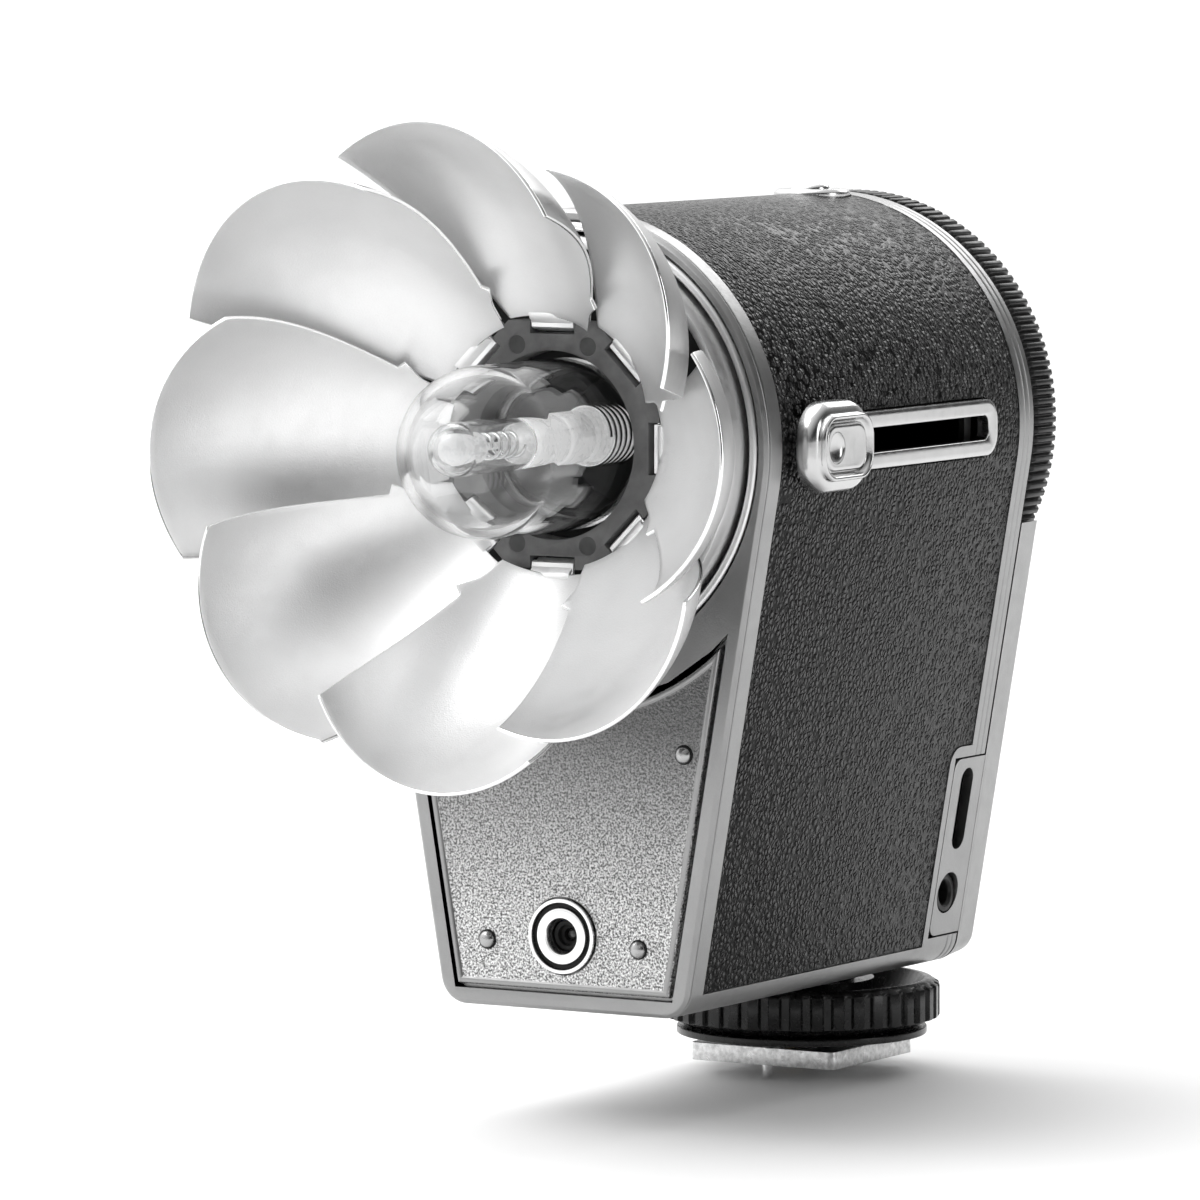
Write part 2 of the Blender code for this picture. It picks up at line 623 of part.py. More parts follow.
def leaf_point(index, radius, ahead, across):
    """World point of a leaf, from its own radius, distance ahead of the hub and offset across."""
    outward, sideways = leaf_frame(index)
    centre = Vector((0, HUB_FRONT_Y - ahead, AXIS_Z))
    return centre + outward * radius + sideways * across


def leaf_profile(along):
    """Radius and distance ahead of the hub along a leaf's middle: a chord with an outward bulge."""
    chord = Vector((LEAF_RIM[0] - LEAF_ROOT[0], LEAF_RIM[1] - LEAF_ROOT[1]))
    outward = Vector((chord.y, -chord.x)).normalized()
    peak = LEAF_BULGE_BIAS / (1 + LEAF_BULGE_BIAS)
    swell = along ** LEAF_BULGE_BIAS * (1 - along) / (peak ** LEAF_BULGE_BIAS * (1 - peak))
    spot = Vector(LEAF_ROOT) + chord * along + outward * LEAF_BULGE * swell
    return spot.x, spot.y


def turn_about_hinge(radius, ahead, angle):
    """Turn a spot of a leaf's (radius, ahead) plane about the hinge; positive folds it inwards."""
    out, forward = radius - HINGE_R, ahead + HINGE_BEHIND
    return (HINGE_R + out * math.cos(angle) - forward * math.sin(angle),
            -HINGE_BEHIND + out * math.sin(angle) + forward * math.cos(angle))


def leaf_reach(along, across):
    """Angle that a leaf covers round the barrel when folded: wide on its over side."""
    root, rim = LEAF_OVER_ANGLES if across > 0 else LEAF_UNDER_ANGLES
    return across * math.radians(root + (rim - root) * along ** LEAF_WIDENING)


def leaf_section(along, across, lift):
    """Radius, distance ahead and offset across at one spot of a leaf's sheet, unfolded.

    Folded, the leaves nest as the turns of a spiral: each is part of a surface of revolution whose
    radius shrinks evenly towards its over side. Unfolding turns that shape out about the hinge.
    """
    fold = math.radians(LEAF_FOLD)
    edge = leaf_reach(1, across)
    along *= 1 - LEAF_RIM_TRIM * (1 - math.cos(edge))
    folded_r, folded_ahead = turn_about_hinge(*leaf_profile(along), fold)
    angle = leaf_reach(along, across)
    shell_r = folded_r - LEAF_SPIRAL * angle + lift
    radius, ahead = turn_about_hinge(shell_r * math.cos(angle), folded_ahead, -fold)
    return radius, ahead, shell_r * math.sin(angle)


def leaf_sheet(index, long_steps=9, cross_steps=7):
    """One leaf as a thin closed shell between its outer and inner faces."""
    bm = bmesh.new()
    faces = {}
    for side in (1, -1):
        grid = []
        for i in range(long_steps + 1):
            along = i / long_steps
            row = []
            for j in range(cross_steps + 1):
                across = 2 * j / cross_steps - 1
                radius, ahead, offset = leaf_section(along, across, side * LEAF_T / 2)
                row.append(bm.verts.new(leaf_point(index, radius, ahead, offset)))
            grid.append(row)
        faces[side] = grid
        for i in range(long_steps):
            for j in range(cross_steps):
                bm.faces.new((grid[i][j], grid[i][j + 1], grid[i + 1][j + 1], grid[i + 1][j]))
    outer, inner = faces[1], faces[-1]
    border = [(0, j) for j in range(cross_steps)]
    border += [(i, cross_steps) for i in range(long_steps)]
    border += [(long_steps, j) for j in range(cross_steps, 0, -1)]
    border += [(i, 0) for i in range(long_steps, 0, -1)]
    for (i, j), (k, m) in zip(border, border[1:] + border[:1]):
        bm.faces.new((outer[i][j], outer[k][m], inner[k][m], inner[i][j]))
    return bm


def hinge_point(index):
    """Middle of one leaf's hinge line."""
    return leaf_point(index, HINGE_R, -HINGE_BEHIND, 0)


def knuckle_shape(index):
    """The tab at a leaf's root, with the round knuckle that the hinge pin passes through."""
    outline = arc((HINGE_R, -HINGE_BEHIND), KNUCKLE_R, math.radians(200), math.radians(380), 6)
    radius, ahead = LEAF_ROOT
    outline += [(radius + 0.35, ahead + 0.1), (radius + 0.3, ahead + 0.55), (radius - 0.35, ahead + 0.25)]
    return loft([[leaf_point(index, r, a, across) for r, a in outline]
                 for across in (-TAB_HALF, TAB_HALF)])


def hinge_rod(index, radius, half_length, sides):
    """A round rod along one hinge line."""
    outward, sideways = leaf_frame(index)
    centre = hinge_point(index)
    forward = Vector((0, -1, 0))
    rings = []
    for end in (-half_length, half_length):
        rings.append([centre + sideways * end + outward * radius * math.cos(2 * math.pi * k / sides)
                      + forward * radius * math.sin(2 * math.pi * k / sides) for k in range(sides)])
    return loft(rings)


def build_hub():
    """Black octagonal ring with a notch and a blind pin bore pair in each side."""
    corner_r = HUB_APOTHEM / math.cos(math.pi / LEAVES)
    outer = [(corner_r * math.cos(math.pi * (2 * k + 1) / LEAVES),
              AXIS_Z + corner_r * math.sin(math.pi * (2 * k + 1) / LEAVES)) for k in range(LEAVES)]
    hub = finish_object("hub_ring", prism_y(outer, (HUB_FRONT_Y, HUB_BACK_Y)), "black_plastic", (0, 0, AXIS_Z))
    drill(hub, "hub_bore", "Y", (0, 0, AXIS_Z), HUB_BORE_R, FRONT_CUT, SEGMENTS)
    notch_in, notch_out = HUB_APOTHEM - NOTCH_DEPTH, HUB_APOTHEM + 3
    for index in range(LEAVES):
        corners = [(notch_in, -NOTCH_HALF), (notch_out, -NOTCH_HALF), (notch_out, NOTCH_HALF),
                   (notch_in, NOTCH_HALF)]
        cut(hub, f"hub_notch_{index + 1}", loft(
            [[leaf_point(index, r, ahead, across) for r, across in corners] for ahead in (3, -6)]))
        cut(hub, f"hub_pin_bore_{index + 1}", hinge_rod(index, HINGE_BORE_R, HINGE_PIN_HALF + 0.2, 10))


def build_leaves():
    """Eight leaves and their hinge pins; each leaf's origin is on its hinge line."""
    for index in range(LEAVES):
        centre = tuple(hinge_point(index))
        leaf = finish_object(f"petal_{index + 1}", leaf_sheet(index), "reflector", centre)
        join(leaf, f"petal_tab_{index + 1}", knuckle_shape(index))
        cut(leaf, f"petal_bore_{index + 1}", hinge_rod(index, HINGE_BORE_R, TAB_HALF + 1, 10))
        finish_object(f"petal_pin_{index + 1}", hinge_rod(index, HINGE_PIN_R, HINGE_PIN_HALF, 8),
                      "satin_silver", centre)


# ---------------------------------------------------------------- lamp

def thimble(radius, wall, tip_y, rear_y, steps):
    """Profile of a tube with a round closed front end."""
    centre_y = tip_y + radius
    outer, inner = [], []
    for i in range(steps + 1):
        angle = math.pi / 2 * i / steps
        outer.append((radius * math.sin(angle), centre_y - radius * math.cos(angle)))
        inner.append(((radius - wall) * math.sin(angle), centre_y - (radius - wall) * math.cos(angle)))
    return outer + [(radius, rear_y), (radius - wall, rear_y)] + inner[::-1]


def build_lamp():
    """Glass dome, flash tube with its trigger wire, and the deep cup they stand in."""
    centre = (0, 0, AXIS_Z)
    finish_object("glass_dome", turned(thimble(DOME_R, DOME_T, DOME_TIP_Y, HUB_BACK_Y, 6), "Y", centre, 28),
                  "clear_glass", centre)
    finish_object("flash_tube", turned(
        thimble(TUBE_GLASS_R, TUBE_GLASS_T, TUBE_TIP_Y, CUP_FLOOR_Y - FIT_GAP, 5), "Y", centre, 18),
        "clear_glass", centre)
    rim_y = HUB_BACK_Y + FIT_GAP
    finish_object("lamp_socket", turned(
        [(0, ELECTRODE_TIP_Y - 0.3), (ELECTRODE_R, ELECTRODE_TIP_Y), (ELECTRODE_R, CUP_FLOOR_Y),
         (CUP_R - CUP_WALL, CUP_FLOOR_Y), (CUP_R - CUP_WALL, rim_y), (CUP_R, rim_y),
         (CUP_R, CUP_FLOOR_Y + 1), (0, CUP_FLOOR_Y + 1)], "Y", centre, 28), "black_plastic", centre)
    finish_object("trigger_wire", helix(TUBE_GLASS_R + 0.55, TRIGGER_WIRE_R, TRIGGER_TURNS, *TRIGGER_Y),
                  "satin_silver", centre)


def helix(radius, wire_r, turns, y_start, y_end, steps_per_turn=12, sides=5):
    """A round wire wound about the lamp's axis."""
    sections = []
    total = int(turns * steps_per_turn)
    for i in range(total + 1):
        angle = 2 * math.pi * turns * i / total
        y = y_start + (y_end - y_start) * i / total
        outward = Vector((math.cos(angle), 0, math.sin(angle)))
        middle = Vector((0, y, AXIS_Z)) + outward * radius
        sections.append([middle + outward * wire_r * math.cos(2 * math.pi * k / sides)
                         + Vector((0, 1, 0)) * wire_r * math.sin(2 * math.pi * k / sides)
                         for k in range(sides)])
    return loft(sections)


# ---------------------------------------------------------------- back and controls

def toothed_ring(tooth, bore_r, teeth, along_range, axis, centre):
    """A ring with teeth round its rim; `tooth` lists one tooth's corners as (share of pitch, radius)."""
    bm = bmesh.new()
    corners = len(tooth)
    rims, bores = [], []
    for along in along_range:
        rims.append([bm.verts.new(turned_point(axis, centre, radius, along,
                                               2 * math.pi * (k + share) / teeth))
                     for k in range(teeth) for share, radius in tooth])
        bores.append([bm.verts.new(turned_point(axis, centre, bore_r, along, 2 * math.pi * k / teeth))
                      for k in range(teeth)])
    for k in range(teeth):
        after = (k + 1) % teeth
        steps = [(corners * k + i) % (corners * teeth) for i in range(corners + 1)]
        for rim, bore in zip(rims, bores):
            bm.faces.new([rim[i] for i in steps] + [bore[after], bore[k]])
        for near, far in zip(steps, steps[1:]):
            bm.faces.new((rims[0][near], rims[0][far], rims[1][far], rims[1][near]))
        bm.faces.new((bores[0][k], bores[0][after], bores[1][after], bores[1][k]))
    return bm


def build_back():
    """Bulkhead, power dial with its fixed plate, and the rear power button."""
    centre = (0, 0, AXIS_Z)
    bulkhead = finish_object("rear_bulkhead", prism_y(shield(WALL + 0.4), BULKHEAD_Y),
                             "black_plastic", (0, 0, 0))
    cut(bulkhead, "bulkhead_foot", block((-BODY_R, BODY_R), REAR_CUT, (0, STEM_TOP_Z + 0.4)))
    tooth = ((0, DIAL_R - DIAL_TOOTH), (0.5, DIAL_R))
    finish_object("dial_ring", toothed_ring(tooth, DIAL_BORE_R, DIAL_TEETH, (DIAL_FRONT_Y, BACK_Y),
                                            "Y", centre), "black_plastic", centre)
    plate_r, plate_y = DIAL_BORE_R - 0.25, BACK_Y - 0.4
    finish_object("dial_plate", turned(
        [(0, DIAL_FRONT_Y), (plate_r, DIAL_FRONT_Y), (plate_r, plate_y - 0.5), (plate_r - 0.55, plate_y),
         (0, plate_y)], "Y", centre, 56), "satin_silver", centre)
    flange_y = BACK_Y - WALL - 0.4
    finish_object("power_button", turned(
        [(0, BACK_Y + 0.3), (POWER_R - 0.6, BACK_Y + 0.3), (POWER_R, BACK_Y), (POWER_R, flange_y),
         (POWER_R + 0.9, flange_y), (POWER_R + 0.9, flange_y - 1), (0, flange_y - 1)],
        "Y", (0, 0, POWER_Z), 28), "black_plastic", (0, BACK_Y, POWER_Z))


def build_test_button():
    """Test button and its bezel on the top of the body."""
    spot = (0, TEST_Y, 0)
    bore_r, neck_z, seat_z, top_z = TEST_R + 0.15, TEST_SEAT_Z - 2, TEST_SEAT_Z + 0.25, TEST_BEZEL_Z
    finish_object("test_bezel", turned(
        [(bore_r, neck_z), (TEST_NECK_R, neck_z), (TEST_NECK_R, seat_z), (TEST_BEZEL_R, seat_z),
         (TEST_BEZEL_R, top_z - 0.35), (TEST_BEZEL_R - 0.4, top_z), (bore_r, top_z)],
        "Z", spot, 20, closed=True), "chrome", (0, 0, 0))
    cap_z = top_z + 0.6
    finish_object("test_button", turned(
        [(0, cap_z), (TEST_R - 0.5, cap_z), (TEST_R, cap_z - 0.35), (TEST_R, neck_z - 0.6),
         (0, neck_z - 0.6)], "Z", spot, 24), "satin_silver", (0, TEST_Y, cap_z))


def build_electronics():
    """Battery, flash capacitor and main board in the lower body."""
    finish_object("battery", block(*BATTERY_BOX), "battery_wrap", (0, 0, 0))
    half, radius = CAPACITOR_HALF, CAPACITOR_R
    finish_object("capacitor", turned(
        [(0, -half), (radius - 0.4, -half), (radius, 0.4 - half), (radius, half - 0.4),
         (radius - 0.4, half), (0, half)], "X", CAPACITOR_CENTRE, 24), "black_plastic", (0, 0, 0))
    finish_object("main_board", block(*BOARD_BOX), "board", (0, 0, 0))


# ---------------------------------------------------------------- hot shoe

def build_shoe():
    """Foot, stem, clamp washer, lock ring, and the two sprung pins."""
    half = FOOT_SIZE / 2
    foot = finish_object("shoe_foot", loft(
        [[(x, y, z) for x, y in rounded_rectangle(2 * half, 2 * half, 1.0, 3)] for z in (0, FOOT_T)]),
        "satin_silver", (0, 0, 0))
    for name, y, radius in (("contact", CONTACT_Y, CONTACT_R), ("locating", LOCATING_Y, LOCATING_R)):
        drill(foot, f"{name}_bore", "Z", (0, y, 0), radius + 0.25, (-FOOT_T, 2 * FOOT_T), 16)
    flange_r, flange_z, foot_z = STEM_R + 1.7, STEM_TOP_Z - 1.4, FOOT_T + FIT_GAP
    stem = finish_object("shoe_stem", turned(
        [(0, foot_z), (STEM_R, foot_z), (STEM_R, flange_z), (flange_r, flange_z), (flange_r, STEM_TOP_Z),
         (0, STEM_TOP_Z)], "Z", (0, 0, 0), 32), "black_plastic", (0, 0, 0))
    head_r, head_z = CONTACT_R + 0.3, foot_z + 0.3
    drill(stem, "stem_contact_bore", "Z", (0, CONTACT_Y, 0), head_r + 0.25, (FOOT_T / 2, head_z + 3), 16)
    finish_object("centre_contact", turned(
        [(0, -0.45), (CONTACT_R - 0.3, -0.3), (CONTACT_R, 0), (CONTACT_R, head_z), (head_r, head_z),
         (head_r, head_z + 1.6), (0, head_z + 1.6)],
        "Z", (0, CONTACT_Y, 0), 14), "gilt", (0, CONTACT_Y, 0))
    pin_top = WASHER_Z[0] - 0.2
    finish_object("locating_pin", turned(
        [(0, LOCATING_TIP_Z), (LOCATING_R - 0.15, LOCATING_TIP_Z), (LOCATING_R, LOCATING_TIP_Z + 0.2),
         (LOCATING_R, pin_top), (0, pin_top)],
        "Z", (0, LOCATING_Y, 0), 14), "satin_silver", (0, LOCATING_Y, 0))
    finish_object("clamp_washer", turned(
        [(STEM_R + 0.25, WASHER_Z[0]), (WASHER_R, WASHER_Z[0]), (WASHER_R, WASHER_Z[1]),
         (STEM_R + 0.25, WASHER_Z[1])], "Z", (0, 0, 0), SEGMENTS, closed=True),
        "black_plastic", (0, 0, 0))
    root_r = RING_R - RING_RIB
    rib = ((0, root_r), (RING_FLANK, RING_R), (RING_FLANK + RING_LAND, RING_R),
           (2 * RING_FLANK + RING_LAND, root_r))
    ring = finish_object("lock_ring", toothed_ring(rib, STEM_R + 0.25, RING_RIBS, RING_Z, "Z", (0, 0, 0)),
                         "black_plastic", (0, 0, 0))
    floor_z, inner_r = RING_Z[0] + 2.2, STEM_R + 2.2
    cut(ring, "ring_bowl", turned([(inner_r, floor_z), (12.6, floor_z), (14.4, floor_z + 6),
                                   (inner_r, floor_z + 6)], "Z", (0, 0, 0), SEGMENTS, closed=True))


def main():
    for old in list(bpy.data.objects):
        bpy.data.objects.remove(old, do_unlink=True)
    build_mid_case()
    build_leather()
    build_front()
    build_rear_cover()
    build_ports()
    build_barrel()
    build_sleeve()
    build_slide_knob()
    build_hub()
    build_leaves()
    build_lamp()
    build_back()
    build_test_button()
    build_electronics()
    build_shoe()


main()
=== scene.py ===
"""Looks of the flash bulb gun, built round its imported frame.

Shapes are worked out in millimetres on the frame's axes: +Z is up, the reflector looks along -Y and
the slide knob is on the +X side. Each piece rides on the body of the part that it stands for.
"""
import json
from math import acos, atan2, cos, hypot, pi, radians, sin

import bmesh
import bpy
from mathutils import Matrix, Vector


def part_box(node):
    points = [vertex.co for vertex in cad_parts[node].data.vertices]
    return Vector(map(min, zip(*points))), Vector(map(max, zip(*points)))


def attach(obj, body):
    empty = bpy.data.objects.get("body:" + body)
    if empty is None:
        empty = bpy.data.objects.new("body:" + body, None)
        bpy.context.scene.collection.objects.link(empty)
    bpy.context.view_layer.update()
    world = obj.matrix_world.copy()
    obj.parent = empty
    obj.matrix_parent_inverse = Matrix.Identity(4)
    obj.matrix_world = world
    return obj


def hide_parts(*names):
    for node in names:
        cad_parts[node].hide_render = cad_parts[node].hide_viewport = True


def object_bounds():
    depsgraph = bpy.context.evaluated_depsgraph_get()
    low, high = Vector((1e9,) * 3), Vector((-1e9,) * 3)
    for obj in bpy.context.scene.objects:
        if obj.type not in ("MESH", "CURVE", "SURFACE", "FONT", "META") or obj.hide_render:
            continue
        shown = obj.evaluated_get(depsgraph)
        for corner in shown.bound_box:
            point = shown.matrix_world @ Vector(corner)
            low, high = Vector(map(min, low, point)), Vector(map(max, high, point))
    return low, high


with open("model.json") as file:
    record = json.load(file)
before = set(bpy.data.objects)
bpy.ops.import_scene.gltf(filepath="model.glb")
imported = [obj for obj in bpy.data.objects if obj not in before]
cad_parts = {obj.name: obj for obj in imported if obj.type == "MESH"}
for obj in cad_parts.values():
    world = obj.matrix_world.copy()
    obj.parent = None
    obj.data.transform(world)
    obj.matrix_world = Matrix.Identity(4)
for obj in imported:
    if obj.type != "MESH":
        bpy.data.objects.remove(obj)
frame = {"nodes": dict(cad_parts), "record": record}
CAD_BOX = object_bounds()

MM = 0.001
BODY_OF = {node: body for body, nodes in frame["record"]["behaviour"]["bodies"].items() for node in nodes}


def span(node):
    """Lowest and highest corner of a CAD node at rest, in millimetres."""
    low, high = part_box(node)
    return low / MM, high / MM


def ends(node, axis):
    """Where a CAD node starts and ends along "x", "y" or "z", in millimetres."""
    return tuple(getattr(corner, axis) for corner in span(node))


# Casing outline: a large top circle, straight sides tangent to it, two small bottom corners
DIAL_LOW, DIAL_HIGH = span("dial_ring")
AXIS_Z = (DIAL_LOW.z + DIAL_HIGH.z) / 2
BARREL_AXIS = (0, 0, AXIS_Z)
BODY_R = DIAL_HIGH.x
CORNER_R = 3.2
CORNER_X = 12.55
CASE_LOW, CASE_HIGH = span("mid_case")
BODY_BOTTOM = CASE_LOW.z
FRONT_SEAM_Y = CASE_LOW.y
REAR_SEAM_Y = CASE_HIGH.y
FRONT_Y = span("front_bezel")[0].y
BACK_Y = DIAL_HIGH.y
WALL = 1.4
SEAM = 0.2

# Leather, and the stepped corner it leaves for the ports
LEATHER_FRONT_Y, LEATHER_REAR_Y = ends("leather_wrap", "y")
LEATHER_BOTTOM_Z = span("leather_wrap")[0].z
LEATHER_T = 0.5
LEATHER_CLEAR = 0.15
PEBBLE_MM = 0.72
PORT_STEP_Y = -0.4
PORT_STEP_Z = 36.2
COVER_TAB_FRONT_Y = 1.05
COVER_TAB_Z = (14.4, 34.6)
USB_SPOT = (4.4, 28.8)
JACK_SPOT = (3.9, 19.2)
JACK_R = 2.15

# Front plate
PLATE_MARGIN = 2.25
PLATE_ARC_R = 28.9
PLATE_FRONT_Y, PLATE_BACK_Y = ends("front_plate", "y")
PLATE_GROOVE = 0.45
RIVET_R = 0.92
RIVET_SPOTS = ((9.55, 18.2), (15.2, 39.6))
SENSOR_Z = 19.1
SENSOR_R = 4.1
SENSOR_FACE_Y, SENSOR_RING_Y, SENSOR_SEAT_Y = -53.0, -52.1, -51.9       # rim, sunk ring, seat on the plate
SENSOR_WELL_Y, SENSOR_BACK_Y = -50.2, -49.6
FRONT_CUT_Y = (-60, -40)        # how far cutters run through the front
BACK_CUT_Y = (10, 20)

# Barrel and slide
COLLAR_R = span("barrel_collar")[1].x
COLLAR_FACE_Y, COLLAR_BACK_Y = -52.65, -46.4
TUBE_R = span("guide_tube")[1].x
TUBE_BORE_R = 23.0
BEZEL_BORE_R = 24.35
SLEEVE_R = span("reflector_sleeve")[1].x
SLEEVE_BORE_R = 21.7
SLEEVE_Y = ends("reflector_sleeve", "y")
SLOT_Y = ends("slot_escutcheon", "y")
SLOT_HALF = 3.15
SLOT_OPEN_HALF = 1.35
SLOT_X = ends("slot_escutcheon", "x")
KNOB_Y = sum(ends("slider_knob", "y")) / 2
KNOB_SIZE = (13.0, 9.9)
KNOB_X = (26.1, span("slider_knob")[1].x)
# Contours of the knob: how much less wide and high, corner radius, and level above KNOB_X's start or end
KNOB_SKIRT = ((0, 0, 4.3, 0), (0, 0, 4.3, 0.7), (0.08, 0.08, 4.25, 1.1), (0.32, 0.32, 4.1, 1.5),
              (0.75, 0.8, 3.8, 1.85), (1.3, 1.5, 3.4, 2.1), (1.7, 2.2, 3.1, 2.18), (1.95, 2.6, 2.8, 2.26),
              (2.1, 2.75, 2.6, 2.55))
KNOB_PAD = ((2.3, 2.95, 2.5, -0.08), (2.6, 3.25, 2.4, 0), (2.95, 3.6, 2.3, -0.06), (3.2, 3.9, 2.2, -0.3),
            (3.5, 4.2, 2.1, -0.62), (3.9, 4.6, 2.0, -0.7), (4.2, 4.85, 1.9, -0.62), (4.4, 5.05, 1.8, -0.42),
            (4.7, 5.3, 1.7, -0.36), (5.3, 5.8, 1.5, -0.38))

# Hub and leaves
LEAVES = 8
HUB_FRONT_Y, HUB_BACK_Y = ends("hub_ring", "y")
HUB_APOTHEM = span("hub_ring")[1].x
HUB_BORE_R = 10.2
NOTCH_HALF = 2.8
NOTCH_DEPTH = 1.35
PLUG_R = 1.05
PLUG_RING_R = 11.6
PLUG_SINK = 0.08
HINGE_R = 12.75
HINGE_BEHIND = 1.0
LEAF_ROOT = (13.95, 0.35)
LEAF_RIM = (35.5, 25.1)
LEAF_BULGE = 3.5
LEAF_BULGE_BIAS = 1.2
LEAF_T = 0.4
LEAF_FOLD = 36.0
LEAF_SPIRAL = 1.2
LEAF_OVER_ANGLES = (25.5, 66.0)
LEAF_UNDER_ANGLES = (20.8, 44.0)
LEAF_RIM_TRIM = 0.3
BARB_ALONG = (0.09, 0.165)      # small hook on each leaf's over edge, near its root
BARB_DEGREES = 5.5
TAB_HALF = 2.5
# Rounded border of a leaf: level as a share of its thickness, and how far out as a share of its grid
LEAF_BORDER = ((0.5, 0.0), (0.46, 0.003), (0.25, 0.0052), (0, 0.006),
               (-0.25, 0.0052), (-0.46, 0.003), (-0.5, 0.0))

# Lamp
DOME_R = 9.3
DOME_CENTRE_Y = span("glass_dome")[0].y + DOME_R
LAMP_LINE = (-0.9, 0, AXIS_Z + 0.5)     # the flash tube sits a little off the dome's axis
TUBE_R_GLASS = 2.9
TUBE_TIP_Y = span("flash_tube")[0].y

# Back, top and shoe
DIAL_FRONT_Y = DIAL_LOW.y
DIAL_TEETH = 148
DIAL_BORE_R = 19.0
SCALE_R = 16.9
SCALE_STEPS = 6                 # marks on each side of the top one
SCALE_DEGREES = 20
SCALE_LONG, SCALE_SHORT = 2.6, 1.5
SCALE_HALF = 0.16
HORN_TOP_Z = 61.0
POWER_Z = 30.0
POWER_R = 3.6
READY_X = 8.5
TEST_Y = 2.0
TEST_R = 2.0
TEST_HOLE_R = 3.35
TEST_POCKET_R = 4.45
TEST_CUT_Z = (93, 102)
TEST_SHELF_Z = 97.2
RING_R = span("lock_ring")[1].x
RING_Z = ends("lock_ring", "z")
RING_RIBS = 40
STEM_R = 6.0
RING_BORE_R = STEM_R + 0.25
STEM_FLANGE_Z = (12.6, 14.0)
FOOT_HALF = span("shoe_foot")[1].x
FOOT_T = span("shoe_foot")[1].z
CONTACT_Y = -2.1
LOCATING_Y = -7.7


# ---- materials

def rgba(tone):
    """A grey level or a colour as four channels."""
    return (*(tone if isinstance(tone, tuple) else (tone,) * 3), 1.0)


class Nodes:
    """A node tree, with short ways to add and link nodes."""

    def __init__(self, tree):
        self.tree = tree

    def link(self, source, target):
        self.tree.links.new(source, target)

    def node(self, kind, inputs=None, **settings):
        """Add a node; its inputs are given as plain values or as sockets to link."""
        made = self.tree.nodes.new(kind)
        for key, value in settings.items():
            setattr(made, key, value)
        for key, value in (inputs or {}).items():
            if isinstance(value, bpy.types.NodeSocket):
                self.link(value, made.inputs[key])
            else:
                made.inputs[key].default_value = value
        return made

    def ramp(self, source, low=0.3, high=0.7, to_low=0.0, to_high=1.0):
        """Map source from low..high onto to_low..to_high, clamped."""
        return self.node("ShaderNodeMapRange", {"Value": source, "From Min": low, "From Max": high,
                                                "To Min": to_low, "To Max": to_high}).outputs["Result"]

    def add(self, first, second, operation="ADD"):
        return self.node("ShaderNodeMath", {0: first, 1: second}, operation=operation).outputs["Value"]


class Finish(Nodes):
    """A Principled material with procedural nodes laid in the object's own coordinates (metres)."""

    def __init__(self, name, tone, roughness, metallic=0.0, **extra):
        self.material = bpy.data.materials.new(name)
        self.material.use_nodes = True
        super().__init__(self.material.node_tree)
        self.shader = self.tree.nodes["Principled BSDF"].inputs
        start = {"Base Color": rgba(tone), "Roughness": roughness, "Metallic": metallic, **extra}
        for socket, value in start.items():
            self.shader[socket.replace("_", " ")].default_value = value
        self.place = self.node("ShaderNodeTexCoord").outputs["Object"]
        self.height = None

    def noise(self, size_mm, detail=3.0, rough=0.55):
        """Noise whose features are about size_mm across."""
        return self.node("ShaderNodeTexNoise", {"Scale": 1 / (size_mm * MM), "Detail": detail,
                                                "Roughness": rough, "Vector": self.place}).outputs["Fac"]

    def cells(self, size_mm, feature, place=None, **extra):
        """Distance field of irregular cells about size_mm across."""
        inputs = {"Scale": 1 / (size_mm * MM), "Vector": place or self.place, **extra}
        return self.node("ShaderNodeTexVoronoi", inputs, feature=feature).outputs["Distance"]

    def tint(self, factor, dark, light):
        """Blend the base colour between two greys or colours."""
        mix = self.node("ShaderNodeMix", {"A": rgba(dark), "B": rgba(light), "Factor": factor},
                        data_type="RGBA")
        self.link(mix.outputs["Result"], self.shader["Base Color"])

    def gloss(self, factor, low, high):
        """Vary roughness with a factor that runs about 0.3..0.7."""
        self.link(self.ramp(factor, to_low=low, to_high=high), self.shader["Roughness"])

    def bump(self, height, depth_mm, strength=1.0):
        """Raise the surface by height x depth_mm; later calls sit on top of earlier ones."""
        inputs = {"Distance": depth_mm * MM, "Strength": strength, "Height": height}
        if self.height:
            inputs["Normal"] = self.height
        self.height = self.node("ShaderNodeBump", inputs).outputs["Normal"]
        self.link(self.height, self.shader["Normal"])


def blasted_metal(name, tone, rough, grain_mm=0.16, depth_mm=0.006, spread=0.05, metallic=1.0):
    """Bead-blasted metal: fine grain, slow cloudiness in tone and gloss."""
    made = Finish(name, tone, rough, metallic)
    cloud = made.noise(9.0, 2.0)
    grain = made.noise(grain_mm, 2.0, 0.6)
    made.tint(made.add(cloud, made.add(grain, 0.35, "MULTIPLY"), "ADD"),
              tone * (1 - spread * 2), min(1.0, tone * (1 + spread)))
    made.gloss(made.noise(1.4, 4.0), rough - 0.04, rough + 0.05)
    made.bump(grain, depth_mm)
    return made.material


